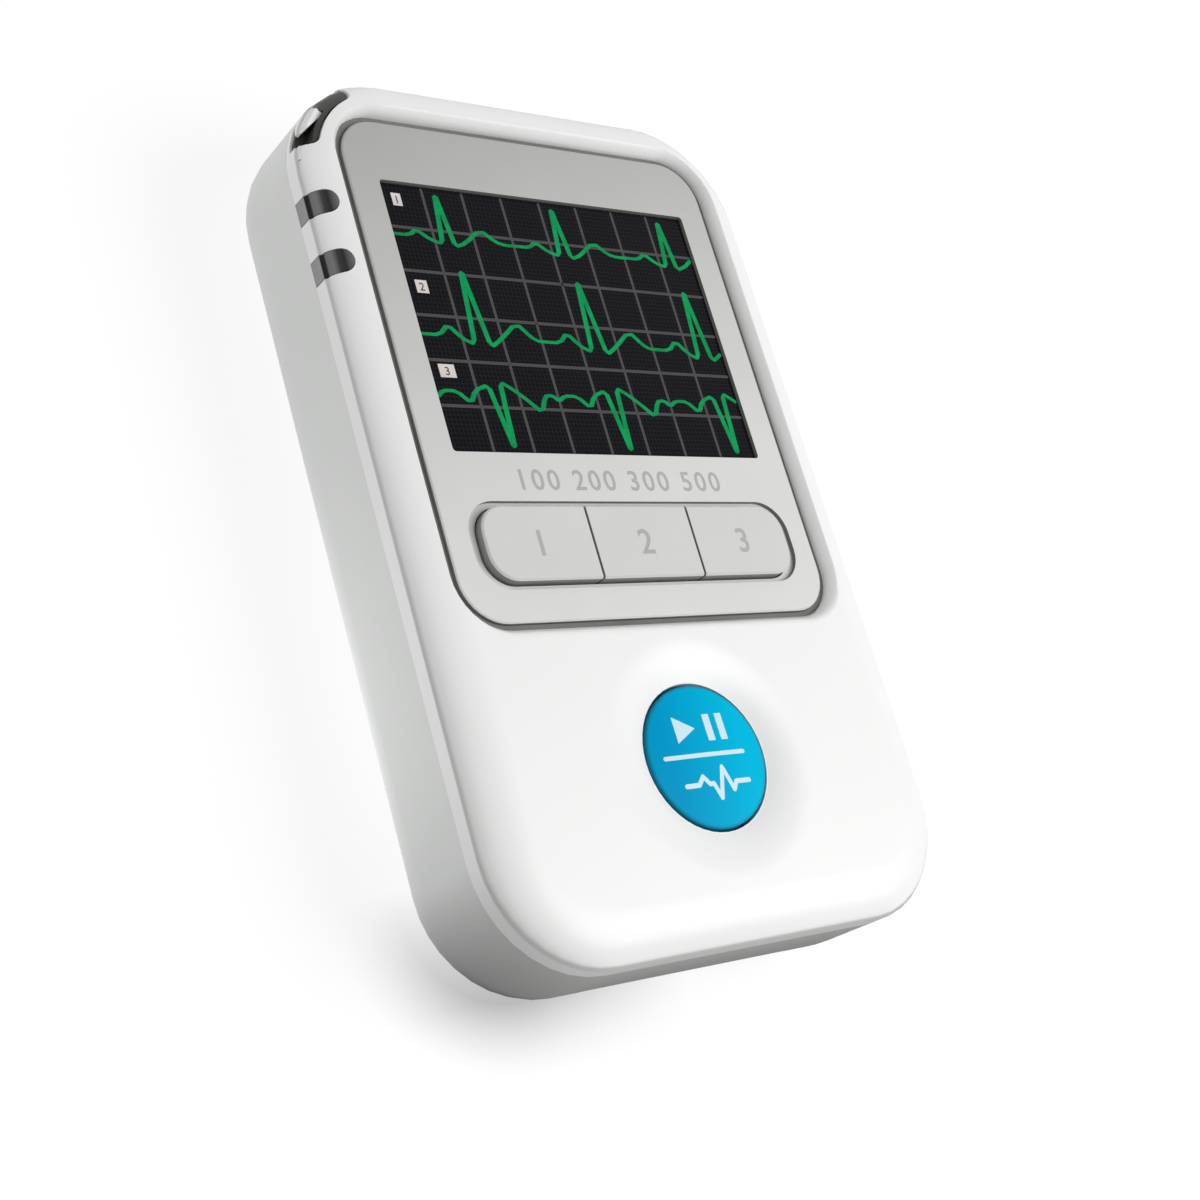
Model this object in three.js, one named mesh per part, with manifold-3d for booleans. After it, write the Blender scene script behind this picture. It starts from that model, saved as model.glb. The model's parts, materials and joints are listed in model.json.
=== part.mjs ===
// Holter monitor: a pocket ECG recorder with a colour display, three soft keys and an event button.
// Millimetres, +Z up. It lies on its back, with the display up. +Y points to the lanyard end and
// +X to the right side seen from the front. The origin is the centre of the flat back.

import * as THREE from 'three';
import { mergeVertices, toCreasedNormals } from 'three/addons/utils/BufferGeometryUtils.js';
import Module from 'manifold-3d';

const wasm = await Module();
wasm.setup();

// Clearances
const fit = 0.3;
const plugFit = 0.2;
const cutMargin = 1;

// Housing shells
const cornerRadius = 12;
const wall = 2;
const backRounding = 6;
const shoulderRun = 5.2;
const shoulderDrop = 2.2;
const rimBandHeight = 1.9;
const creaseStep = 0.25;
const creaseRise = 0.15;
const lipHeight = 0.5;
const lipOuterInset = 1.3;
const roofThickness = 1.8;

// Display and its panel
const displayWidth = 40.8;
const displayHeight = 30.6;
const windowBorder = 0.05;
const windowFit = 0.1;
const windowCorner = 0.3;
const windowSet = 0.4;
const panelSideBezel = 3.75;
const panelTopBezel = 7.25;
const panelThickness = 1;
const panelEdge = 0.15;
const panelCornerRadius = 4.8;
const panelGroove = 0.75;
const recessDepth = 1.1;
const recessSlope = 0.5;
const recessSlopeRise = 0.7;
const recessLip = 0.7;
const recessMargin = 3.2;
const sealHeight = 0.5;
const sealFit = 0.05;
const ledgeWidth = 1.4;
const ledgeThickness = 1.4;

// Display module under the window
const gasketThickness = 0.3;
const gasketBand = 1.5;
const cellBorder = 1.2;
const cellThickness = 1;
const cellCorner = 0.4;
const trayFloor = 0.9;
const trayWall = 0.4;
const trayLegRadius = 1.2;
const flexWidth = 14;
const flexThickness = 0.2;
const flexReach = 1.5;
const flexFoot = 2;

// Soft keys
const keyCount = 3;
const keyPitch = 13.55;
const keyGap = 0.3;
const keyLength = 8;
const keyCornerRadius = 3;
const keyProud = 0.6;
const keyEdge = 0.2;
const keyFit = 0.2;
const moatDepth = 0.5;
const moatSide = 1.2;
const moatEnd = 0.7;
const keyFlangeOverlap = 0.7;
const flangeThickness = 0.5;
const pressTravel = 0.4;
const displayToKeys = 5.5;
const keysToPanelEnd = 3.45;

// Event button
const buttonRadius = 7.5;
const buttonProud = 0.5;
const buttonEdge = 0.25;
const buttonFlangeOverlap = 0.9;
const dishDepth = 1.25;
const dishRadius = 12.7;
const dishFloorRing = 0.1;
const collarBorder = 4;
const dishWall = 0.95;
const recessToButton = 13.1;
const buttonToEnd = 18.8;

// Switches and boards
const boardThickness = 0.8;
const flangeToBoard = 0.3;
const domeRadius = 2;
const domeHeight = 0.5;
const domeSheetThickness = 0.1;
const domeSheetBorder = 1.2;
const keyBoardRadius = 1.5;
const keyBoardLength = 12;
const keyBoardStem = 22;
const trayToKeyBoard = 1.5;
const pinRadius = 0.9;
const pinX = 9;
const pinFromEnd = 9.6;
const mainBoardThickness = 1.2;
const boardArmLength = 9.6;
const postRadius = 2;
const postX = 14;
const postFromEdge = 4;
const shield = { width: 20, length: 16, height: 2, edge: 0.2, fromTop: 23.6 };
const beeperSize = { radius: 4.5, height: 2.5, fromArm: 6, fromTop: 23.6 };
const card = { width: 11, length: 15, thickness: 0.7, out: 2.5, fromTop: 25.6 };
const cardSocketWall = 0.5;
const cardSocketLength = 14;
const link = { width: 5, length: 2.2, fromArm: 4 };
const led = { width: 1, length: 1.6, height: 0.8 };

// Cells, their bay and the door
const cellDiameter = 10.5;
const cellBodyLength = 43.5;
const cellNubLength = 1;
const cellNubRadius = 2.7;
const cellBevel = 0.4;
const cellSpacing = 0.4;
const contactThickness = 0.4;
const contactBorder = 1;
const springLength = 3;
const springWire = 0.6;
const springTurns = 3;
const springStepsPerTurn = 10;
const springSides = 5;
const springWideRadius = 3.6;
const springNarrowRadius = 2.2;
const bayWall = 1.2;
const bayRoof = 0.8;
const doorInset = 0.1;
const doorThickness = 1.2;
const doorOverlap = 1.5;
const doorGap = 0.25;
const doorTongueWidth = 4;
const doorTongueReach = 1.3;
const doorTongueRoot = 2;
const doorTongueThickness = 0.7;
const doorSlab = 1.2;
const gripCount = 5;
const gripPitch = 1.8;
const gripRib = 0.7;
const gripWidth = 14;
const gripDepth = 0.5;
const gripFromBay = 7;

// Screws and bosses
const bossInset = 7.3;
const bossFromEnd = 7.6;
const rearBossRadius = 2.6;
const frontBossRadius = 2.2;
const screwRadius = 1;
const screwHeadRadius = 1.8;
const screwHeadHeight = 1.2;
const screwHeadDepth = 2.6;
const screwReach = 5;
const socketRadius = 0.7;
const socketDepth = 0.6;
const bossMeetDepth = 5;
const boardScrewRadius = 0.7;
const boardScrewHeadRadius = 1.5;
const boardScrewHeadHeight = 0.8;
const boardScrewReach = 4;

// Lanyard eyelet in the top left corner
const eyeletDepth = 2;
const eyeletStart = 113;
const eyeletEnd = 165;
const eyeletMargin = 8;
const eyeletFillet = 1.1;
const eyeletWall = 1.3;
const eyeletFloor = 0.6;
const tabStart = 137.5;
const tabRootEnd = 145;
const tabEnd = 157;
const tabWide = 1.5;
const tabNarrow = 0.35;
const tabHeight = 2.7;
const tabUndercut = 1;
const linerFit = 0.15;
const linerSet = 0.25;
const linerThickness = 0.5;

// Indicator windows on the left edge
const indicatorCount = 2;
const indicatorWidth = 2.5;
const indicatorReach = 2.6;
const indicatorFit = 0.1;
const indicatorPitch = 6.76;
const indicatorFromTop = 15.87;
const lightPipeWidth = 1.2;

// Ports
const leadSocketWidth = 15;
const leadSocketHeight = 3.1;
const leadSocketDepth = 6;
const leadSocketWall = 0.5;
const leadSocketSet = 0.4;
const leadSocketBack = 1;
const leadTongueBorder = 1.4;
const leadTongueThickness = 0.7;
const leadPinCount = 9;
const leadPinWidth = 0.5;
const leadPinRise = 0.1;
const usbWidth = 7.6;
const usbHeight = 2.6;
const usbDepth = 5.6;
const usbWall = 0.35;
const usbCorner = 0.7;
const usbTongueWidth = 3.6;
const usbTongueThickness = 0.6;
const usbFromTop = 27.6;

// Overall size, set by what lies in a row
const moatLength = keyLength + 2 * moatEnd;
const panelWidth = displayWidth + 2 * panelSideBezel;
const panelLength = panelTopBezel + displayHeight + displayToKeys + moatLength + keysToPanelEnd;
const recessBorder = panelGroove + recessSlope + recessLip;
const recessLength = panelLength + 2 * recessBorder;
const bodyWidth = panelWidth + 2 * (recessBorder + recessMargin);
const bodyLength = recessMargin + recessLength + recessToButton + buttonToEnd;

// Levels from the back to the front
const cellZ = doorInset + doorThickness + fit + cellDiameter / 2;
const bayRoofBottom = cellZ + cellDiameter / 2 + fit;
const bayRoofTop = bayRoofBottom + bayRoof;
const keyBoardBottom = bayRoofTop + fit;
const keyBoardTop = keyBoardBottom + boardThickness;
const buttonFlangeBottom = keyBoardTop + flangeToBoard + pressTravel;
const buttonFlangeTop = buttonFlangeBottom + flangeThickness;
const dishUnderside = buttonFlangeTop + fit;
const dishFloor = dishUnderside + dishWall;
const frontZ = dishFloor + dishDepth;
const creaseZ = frontZ - shoulderDrop;
const seamZ = creaseZ - rimBandHeight;
const lipTop = seamZ + lipHeight;
const rebateTop = lipTop + fit;
const panelTop = frontZ - recessDepth;
const panelBottom = panelTop - panelThickness;
const ledgeBottom = panelBottom - ledgeThickness;
const roofBottom = frontZ - roofThickness;
const cellTop = panelBottom - gasketThickness;
const cellBottom = cellTop - cellThickness;
const trayBottom = cellBottom - trayFloor;
const keyFlangeBottom = panelBottom - fit - flangeThickness;
const moatFloor = panelTop - moatDepth;
const domeClearTop = keyBoardTop + domeSheetThickness + domeHeight + plugFit + pressTravel;
const eyeletBottom = seamZ + eyeletFloor;
const tabTop = seamZ + tabHeight;
const leadSocketTop = seamZ - fit;
const leadSocketBottom = leadSocketTop - leadSocketHeight;
const mainBoardTop = leadSocketBottom - fit;
const mainBoardBottom = mainBoardTop - mainBoardThickness;
const bossMeet = seamZ - bossMeetDepth;
const screwTip = bossMeet + screwReach;
const doorTop = doorInset + doorThickness;
const doorSeatZ = doorTop + fit;
const tongueTop = doorSeatZ + doorTongueThickness;

// Places along the length
const topEnd = bodyLength / 2;
const bottomEnd = -bodyLength / 2;
const recessTop = topEnd - recessMargin;
const recessBottom = recessTop - recessLength;
const recessCentreY = (recessTop + recessBottom) / 2;
const displayY = recessTop - recessBorder - panelTopBezel - displayHeight / 2;
const keyY = displayY - displayHeight / 2 - displayToKeys - moatLength / 2;
const buttonY = bottomEnd + buttonToEnd;

const indicatorIndexes = Array.from({ length: indicatorCount }, (_, i) => i);

// Places of the bay
const bayHalfWidth = cellDiameter + cellSpacing / 2 + fit;
const bayStart = bottomEnd + wall + bayWall;
const bayLength = fit + contactThickness + fit + springLength + fit + cellBodyLength + cellNubLength
  + fit + contactThickness + fit;
const bayEnd = bayStart + bayLength;
const doorHalfWidth = bayHalfWidth + bayWall + doorOverlap;
const doorEnd = bayEnd + bayWall + doorOverlap;

// Places of the bosses and posts
const bossX = bodyWidth / 2 - bossInset;
const bossY = topEnd - bossFromEnd;
const bossPlaces = [[bossX, bossY], [-bossX, bossY], [-bossX, -bossY], [bossX, -bossY]];
const mainBoardHalfWidth = bodyWidth / 2 - wall - 2 * fit;
const mainBoardTopEdge = topEnd - wall - 2 * fit;
const boardArmStart = bayHalfWidth + bayWall + 2 * fit;
const boardArmRoot = bayEnd + bayWall + 2 * fit;
const boardArmEnd = boardArmRoot - boardArmLength;
const armPostX = (boardArmStart + mainBoardHalfWidth) / 2;
const postPlaces = [1, -1].map((side) => [side * postX, mainBoardTopEdge - postFromEdge]);
const armPostPlaces = [1, -1].map((side) => [side * armPostX, boardArmEnd + postFromEdge]);
const pinPlaces = [1, -1].map((side) => [side * pinX, bottomEnd + pinFromEnd]);

// Places of the display tray, the key group, the lamps, the card and the ports
const trayHalfWidth = displayWidth / 2 + cellBorder + plugFit + trayWall;
const trayHalfLength = displayHeight / 2 + cellBorder + plugFit + trayWall;
const keyGroupWidth = keyCount * keyPitch - keyGap;
const keyBoardHalfWidth = keyGroupWidth / 2 + keyFlangeOverlap - fit;
const keyBoardTopEdge = displayY - trayHalfLength - trayToKeyBoard;
const keyBoardBottomEdge = bayStart;
const keyPlaces = Array.from({ length: keyCount }, (_, i) => [
  (i - (keyCount - 1) / 2) * keyPitch,
  keyY,
]);
const domePlaces = [...keyPlaces, [0, buttonY]];
const leadSocketY = topEnd - leadSocketSet;
const lightPipeX = -bodyWidth / 2 + wall + fit + lightPipeWidth / 2;
const cardSocketHeight = card.thickness + 2 * plugFit + 2 * cardSocketWall;
const cardSocketWidth = card.width + 2 * (plugFit + cardSocketWall);
const cardX = -(boardArmStart + fit + cardSocketWidth / 2);
const cardSocketY = topEnd - card.fromTop;
const usbX = bodyWidth / 2 - fit;
const usbY = topEnd - usbFromTop;
const usbZ = mainBoardTop + plugFit + usbHeight / 2;
const cornerCentreX = -bodyWidth / 2 + cornerRadius;
const cornerCentreY = topEnd - cornerRadius;

// Facets
const cornerSteps = 9;
const arcSteps = 7;
const filletSteps = 3;
const roundSides = 24;
const smallSides = 12;

// Materials
function plastic(color, roughness) {
  return new THREE.MeshStandardMaterial({ color, roughness, metalness: 0 });
}

function metal(color, roughness) {
  return new THREE.MeshStandardMaterial({ color, roughness, metalness: 1 });
}

const materials = {
  frontShell: plastic(0xf4f4f3, 0.35),
  rearShell: plastic(0xc0c4c0, 0.45),
  panel: plastic(0xc4c4c2, 0.5),
  key: plastic(0xd3d3d1, 0.5),
  blue: plastic(0x00a8d8, 0.35),
  dark: plastic(0x2c2b2d, 0.25),
  displayGlass: plastic(0x121318, 0.1),
  cellGlass: plastic(0x1c2420, 0.15),
  foam: plastic(0x202020, 0.9),
  board: plastic(0x1f5a38, 0.5),
  sheet: plastic(0xd8d8d0, 0.4),
  ribbon: plastic(0xb5762a, 0.4),
  blackPlastic: plastic(0x1a1a1a, 0.5),
  lamp: plastic(0xe8e6d0, 0.3),
  steel: metal(0xb8babc, 0.35),
  nickel: metal(0xc9c7bd, 0.3),
  cellSleeve: plastic(0x4c5258, 0.4),
};

// Solids and meshes
function toSolid(geometry) {
  const bare = new THREE.BufferGeometry();
  bare.setAttribute('position', geometry.getAttribute('position'));
  bare.setIndex(geometry.getIndex());
  const merged = mergeVertices(bare, 1e-4);
  const corners = merged.getIndex().array;
  const kept = [];
  for (let i = 0; i < corners.length; i += 3) {
    const [a, b, c] = [corners[i], corners[i + 1], corners[i + 2]];
    if (a !== b && b !== c && c !== a) {
      kept.push(a, b, c);
    }
  }
  return new wasm.Manifold(new wasm.Mesh({
    numProp: 3,
    vertProperties: new Float32Array(merged.getAttribute('position').array),
    triVerts: new Uint32Array(kept),
  }));
}

function toGeometry(solid) {
  const mesh = solid.getMesh();
  const geometry = new THREE.BufferGeometry();
  geometry.setAttribute('position', new THREE.BufferAttribute(mesh.vertProperties, 3));
  geometry.setIndex(new THREE.BufferAttribute(mesh.triVerts, 1));
  return toCreasedNormals(geometry, Math.PI / 6);
}

function joined(solids) {
  return solids.reduce((sum, solid) => sum.add(solid));
}

function cut(solid, cutters) {
  return cutters.reduce((rest, cutter) => rest.subtract(cutter), solid);
}

// The corner points of a rounded rectangle, counter-clockwise
function roundedRing(width, length, radius, x = 0, y = 0, steps = cornerSteps) {
  const points = [];
  for (let corner = 0; corner < 4; corner += 1) {
    const signX = corner === 0 || corner === 3 ? 1 : -1;
    const signY = corner < 2 ? 1 : -1;
    for (let step = 0; step <= steps; step += 1) {
      const angle = ((corner + step / steps) * Math.PI) / 2;
      points.push(new THREE.Vector2(
        x + signX * (width / 2 - radius) + radius * Math.cos(angle),
        y + signY * (length / 2 - radius) + radius * Math.sin(angle),
      ));
    }
  }
  return points;
}

// A closed skin over rings of equal point count, from the first ring to the last
function skin(rings) {
  const count = rings[0].length;
  const positions = rings.flatMap((ring) => ring.flatMap((point) => [point.x, point.y, point.z]));
  const index = [];
  for (let level = 0; level < rings.length - 1; level += 1) {
    for (let i = 0; i < count; i += 1) {
      const a = level * count + i;
      const b = level * count + ((i + 1) % count);
      index.push(a, b, b + count, a, b + count, a + count);
    }
  }
  const last = (rings.length - 1) * count;
  for (let i = 1; i < count - 1; i += 1) {
    index.push(0, i + 1, i, last, last + i, last + i + 1);
  }
  const geometry = new THREE.BufferGeometry();
  geometry.setAttribute('position', new THREE.Float32BufferAttribute(positions, 3));
  geometry.setIndex(index);
  return toSolid(geometry);
}

// A loft through flat outlines, each at its own height
function loft(levels) {
  return skin(levels.map(({ points, z }) => points.map((p) => new THREE.Vector3(p.x, p.y, z))));
}

function prism(points, bottom, top) {
  const geometry = new THREE.ExtrudeGeometry(new THREE.Shape(points), {
    depth: top - bottom,
    bevelEnabled: false,
  });
  return toSolid(geometry.translate(0, 0, bottom));
}

// A prism along X, from an outline in Y and Z
function prismAlongX(points, start, end) {
  const geometry = new THREE.ExtrudeGeometry(new THREE.Shape(points), {
    depth: end - start,
    bevelEnabled: false,
  });
  geometry.rotateX(Math.PI / 2).rotateZ(Math.PI / 2);
  return toSolid(geometry.translate(start, 0, 0));
}

// A rounded slab, with a chamfer round its top if it has an edge
function slab({ width, length, radius, bottom, top, x = 0, y = 0, edge = 0, steps = filletSteps }) {
  const ring = (inset) => roundedRing(
    width - 2 * inset,
    length - 2 * inset,
    radius - inset,
    x,
    y,
    steps,
  );
  const levels = [{ points: ring(0), z: bottom }, { points: ring(0), z: top - edge }];
  if (edge > 0) {
    levels.push({ points: ring(edge), z: top });
  }
  return loft(levels);
}

function box(x0, x1, y0, y1, bottom, top) {
  const geometry = new THREE.BoxGeometry(x1 - x0, y1 - y0, top - bottom);
  return toSolid(geometry.translate((x0 + x1) / 2, (y0 + y1) / 2, (bottom + top) / 2));
}

// A box about a point in plan
function block(x, y, width, length, bottom, top) {
  return box(x - width / 2, x + width / 2, y - length / 2, y + length / 2, bottom, top);
}

// A turned solid about a vertical line, from a profile of [radius, height] that starts and ends on it
function turned(profile, x = 0, y = 0, sides = roundSides) {
  const geometry = new THREE.LatheGeometry(
    profile.map(([radius, height]) => new THREE.Vector2(radius, height)),
    sides,
  );
  return toSolid(geometry.rotateX(Math.PI / 2).translate(x, y, 0));
}

function rod(radius, bottom, top, x, y, sides = smallSides) {
  return turned([[0, bottom], [radius, bottom], [radius, top], [0, top]], x, y, sides);
}

// A piece of a ring about the centre of the top left corner, its inner corners rounded by a fillet
function cornerSector({ inner, outer, start, end, bottom, top, fillet = 0 }) {
  const first = THREE.MathUtils.degToRad(start);
  const last = THREE.MathUtils.degToRad(end);
  const points = [];
  const add = (radius, angle) => points.push(new THREE.Vector2(
    cornerCentreX + radius * Math.cos(angle),
    cornerCentreY + radius * Math.sin(angle),
  ));
  for (let step = 0; step <= cornerSteps; step += 1) {
    add(outer, first + ((last - first) * step) / cornerSteps);
  }
  const turn = fillet / inner;
  const corners = fillet > 0 ? filletSteps : 0;
  for (let step = 0; step < corners; step += 1) {
    const angle = (step / corners) * (Math.PI / 2);
    add(inner + fillet * (1 - Math.sin(angle)), last - turn * (1 - Math.cos(angle)));
  }
  for (let step = 0; step <= cornerSteps; step += 1) {
    add(inner, last - turn - ((last - first - 2 * turn) * step) / cornerSteps);
  }
  for (let step = corners - 1; step >= 0; step -= 1) {
    const angle = (step / corners) * (Math.PI / 2);
    add(inner + fillet * (1 - Math.sin(angle)), first + turn * (1 - Math.cos(angle)));
  }
  return prism(points, bottom, top);
}

// The outline of the body moved in by an inset
function bodyRing(inset) {
  return roundedRing(bodyWidth - 2 * inset, bodyLength - 2 * inset, cornerRadius - inset);
}

// The body below a height, with its back edge rounded, moved in all round by an offset
function backBody(offset, top) {
  const radius = backRounding - offset;
  const levels = [];
  for (let step = 0; step <= arcSteps; step += 1) {
    const angle = ((1 - step / arcSteps) * Math.PI) / 2;
    levels.push({
      points: bodyRing(backRounding - radius * Math.cos(angle)),
      z: backRounding - radius * Math.sin(angle),
    });
  }
  levels.push({ points: bodyRing(offset), z: top });
  return loft(levels);
}

// The front half of the body: the rim band, the crease and the elliptical shoulder
function frontBody() {
  const levels = [
    { points: bodyRing(0), z: seamZ },
    { points: bodyRing(0), z: creaseZ - creaseRise },
  ];
  for (let step = 0; step <= arcSteps; step += 1) {
    const angle = ((step / arcSteps) * Math.PI) / 2;
    levels.push({
      points: bodyRing(creaseStep + (shoulderRun - creaseStep) * (1 - Math.cos(angle))),
      z: creaseZ + shoulderDrop * Math.sin(angle),
    });
  }
  return loft(levels);
}

// Cutters and plugs of the front housing
// Recess of the panel: a groove round the panel, a slope above it and a lip that turns it outward
function panelRecess() {
  const ring = (grow) => roundedRing(
    panelWidth + 2 * grow,
    panelLength + 2 * grow,
    panelCornerRadius + grow,
    0,
    recessCentreY,
  );
  const lipStart = panelGroove + recessSlope;
  const lipRise = recessDepth - recessSlopeRise;
  const lip = new THREE.QuadraticBezierCurve(
    new THREE.Vector2(lipStart, panelTop + recessSlopeRise),
    new THREE.Vector2(lipStart + (recessSlope * lipRise) / recessSlopeRise, frontZ),
    new THREE.Vector2(lipStart + recessLip, frontZ),
  );
  return loft([
    { points: ring(panelGroove), z: panelBottom },
    { points: ring(panelGroove), z: panelTop },
    ...lip.getPoints(filletSteps).map((point) => ({ points: ring(point.x), z: point.y })),
    { points: ring(lipStart + recessLip), z: frontZ + cutMargin },
  ]);
}

function ledgeOpening() {
  return slab({
    width: panelWidth - 2 * ledgeWidth,
    length: panelLength - 2 * ledgeWidth,
    radius: panelCornerRadius - ledgeWidth,
    bottom: ledgeBottom - cutMargin,
    top: panelBottom + cutMargin,
    y: recessCentreY,
  });
}

function buttonDish() {
  const holeRadius = buttonRadius + fit;
  const floorRadius = holeRadius + dishFloorRing;
  const profile = [
    [0, seamZ],
    [holeRadius, seamZ],
    [holeRadius, dishFloor],
    [floorRadius, dishFloor],
  ];
  for (let step = 1; step <= arcSteps; step += 1) {
    const part = step / arcSteps;
    profile.push([
      floorRadius + (dishRadius - floorRadius) * part,
      dishFloor + dishDepth * (1 - (1 - part) ** 2),
    ]);
  }
  profile.push([dishRadius, frontZ + cutMargin], [0, frontZ + cutMargin]);
  return turned(profile, 0, buttonY, 2 * roundSides);
}

// A point in plan about the centre of the top left corner
function cornerPoint(radius, degrees) {
  const angle = THREE.MathUtils.degToRad(degrees);
  return new THREE.Vector2(
    cornerCentreX + radius * Math.cos(angle),
    cornerCentreY + radius * Math.sin(angle),
  );
}

// Tab between the two mouths of the eyelet, grown by a clearance: it leans out over the lower mouth
function eyeletTab(grow) {
  const turn = THREE.MathUtils.radToDeg(grow / cornerRadius);
  const outer = cornerRadius + cutMargin;
  const outline = (end) => {
    const part = (end - tabStart) / (tabEnd - tabStart);
    const width = tabWide + (tabNarrow - tabWide) * part;
    return [
      cornerPoint(outer, tabStart - turn),
      cornerPoint(outer, (tabStart + end) / 2),
      cornerPoint(outer, end + turn),
      cornerPoint(cornerRadius - width - grow, end + turn),
      cornerPoint(cornerRadius - tabWide - grow, tabStart - turn),
    ];
  };
  return loft([
    { points: outline(tabRootEnd), z: seamZ },
    { points: outline(tabRootEnd), z: eyeletBottom },
    { points: outline(tabEnd), z: eyeletBottom + tabUndercut },
    { points: outline(tabEnd), z: tabTop },
  ]);
}

// A cord passes behind the tab, in at one mouth and out at the other
function eyeletPocket() {
  return cornerSector({
    inner: cornerRadius - eyeletDepth,
    outer: cornerRadius + cutMargin,
    start: eyeletStart,
    end: eyeletEnd,
    bottom: eyeletBottom,
    top: frontZ + cutMargin,
    fillet: eyeletFillet,
  }).subtract(eyeletTab(0));
}

function indicatorY(index) {
  return topEnd - indicatorFromTop - index * indicatorPitch;
}

// The plan outline of an indicator window, grown by a clearance
function indicatorOutline(index, grow) {
  const half = indicatorWidth / 2 + grow;
  const y = indicatorY(index);
  const outerX = -bodyWidth / 2 - cutMargin;
  const tipX = -bodyWidth / 2 + indicatorReach - indicatorWidth / 2;
  const shape = new THREE.Shape();
  shape.moveTo(outerX, y - half);
  shape.lineTo(tipX, y - half);
  shape.absarc(tipX, y, half, -Math.PI / 2, Math.PI / 2, false);
  shape.lineTo(outerX, y + half);
  return shape.getPoints(2 * filletSteps);
}

function lightPipe(index, grow, bottom, top) {
  const width = lightPipeWidth + 2 * grow;
  const length = indicatorWidth - 2 * plugFit + 2 * grow;
  return block(lightPipeX, indicatorY(index), width, length, bottom, top);
}

// Front housing: shell, roof, bosses, dish collar and the block round the eyelet
function frontHousing() {
  const roofRoom = prism(bodyRing(wall), seamZ, roofBottom).intersect(box(
    -bodyWidth / 2,
    bodyWidth / 2,
    bottomEnd,
    recessBottom - ledgeWidth,
    seamZ,
    roofBottom,
  ));
  const shell = cut(frontBody(), [
    prism(bodyRing(lipOuterInset - fit), seamZ - cutMargin, rebateTop),
    prism(bodyRing(wall), seamZ, ledgeBottom),
    roofRoom,
    panelRecess(),
    ledgeOpening(),
  ]);
  const eyeletBlock = cornerSector({
    inner: cornerRadius - eyeletDepth - eyeletWall,
    outer: cornerRadius - creaseStep,
    start: eyeletStart - eyeletMargin,
    end: eyeletEnd + eyeletMargin,
    bottom: seamZ,
    top: roofBottom,
  });
  const collar = rod(
    buttonRadius + collarBorder,
    dishUnderside,
    roofBottom + fit,
    0,
    buttonY,
    2 * roundSides,
  );
  const bosses = bossPlaces.map(([x, y]) => rod(
    frontBossRadius,
    bossMeet,
    y > 0 ? ledgeBottom + fit : roofBottom + fit,
    x,
    y,
  ));
  const screwHoles = bossPlaces.map(([x, y]) => rod(
    screwRadius + plugFit,
    bossMeet - cutMargin,
    screwTip + fit,
    x,
    y,
  ));
  const indicatorHoles = indicatorIndexes.flatMap((index) => [
    prism(indicatorOutline(index, indicatorFit), seamZ - cutMargin, frontZ + cutMargin),
    lightPipe(index, plugFit, seamZ - cutMargin, panelBottom),
  ]);
  return cut(joined([shell, eyeletBlock, collar, ...bosses]), [
    buttonDish(),
    eyeletPocket(),
    ...screwHoles,
    ...indicatorHoles,
  ]);
}

// Left edge windows: each follows the shell outside and ends inside in a light pipe over its lamp
function indicatorWindow(index) {
  const plug = frontBody().intersect(
    prism(indicatorOutline(index, 0), seamZ, frontZ + cutMargin),
  );
  const pipe = lightPipe(index, 0, mainBoardTop + led.height + fit, panelBottom - plugFit);
  const lipRoom = box(
    -bodyWidth / 2 + lipOuterInset - fit,
    -bodyWidth / 2 + wall + fit,
    indicatorY(index) - indicatorWidth,
    indicatorY(index) + indicatorWidth,
    seamZ - cutMargin,
    rebateTop,
  );
  return plug.subtract(lipRoom).add(pipe);
}

// Dark liner of the eyelet: a floor and a wall behind the tab, and an insert that fills the wider mouth
function eyeletLiner() {
  const turn = THREE.MathUtils.radToDeg(linerFit / cornerRadius);
  const span = {
    inner: cornerRadius - eyeletDepth + linerFit,
    outer: cornerRadius,
    start: eyeletStart + turn,
    bottom: eyeletBottom,
    fillet: eyeletFillet,
  };
  const whole = { ...span, end: eyeletEnd - turn };
  const floor = cornerSector({ ...whole, top: eyeletBottom + linerThickness });
  const back = cornerSector({ ...whole, outer: span.inner + linerThickness, top: frontZ, fillet: 0 });
  const insert = cornerSector({ ...span, end: tabStart + turn, top: frontZ });
  const envelope = frontBody().translate(0, 0, -linerSet)
    .intersect(prism(bodyRing(linerSet), seamZ, frontZ));
  const pocket = cornerSector({ ...whole, top: frontZ });
  const lining = joined([floor, back.intersect(pocket), insert]);
  return lining.intersect(envelope).subtract(eyeletTab(linerFit));
}

// Front panel, window and display module
function displaySlab(border, radius, bottom, top) {
  return slab({
    width: displayWidth + 2 * border,
    length: displayHeight + 2 * border,
    radius,
    bottom,
    top,
    y: displayY,
  });
}

function frontPanel() {
  const plate = slab({
    width: panelWidth,
    length: panelLength,
    radius: panelCornerRadius,
    bottom: panelBottom,
    top: panelTop,
    y: recessCentreY,
    edge: panelEdge,
    steps: cornerSteps,
  });
  const displayHole = displaySlab(
    windowBorder + windowFit,
    windowCorner + windowFit,
    panelBottom - cutMargin,
    panelTop + cutMargin,
  );
  const keyOpening = slab({
    width: keyGroupWidth + 2 * keyFit,
    length: keyLength + 2 * keyFit,
    radius: keyCornerRadius + keyFit,
    bottom: panelBottom - cutMargin,
    top: panelTop + cutMargin,
    y: keyY,
    steps: cornerSteps,
  });
  const moat = slab({
    width: keyGroupWidth + 2 * moatSide,
    length: moatLength,
    radius: keyCornerRadius + moatEnd,
    bottom: moatFloor,
    top: panelTop + cutMargin,
    y: keyY,
    steps: cornerSteps,
  });
  return cut(plate, [displayHole, keyOpening, moat]);
}

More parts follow.
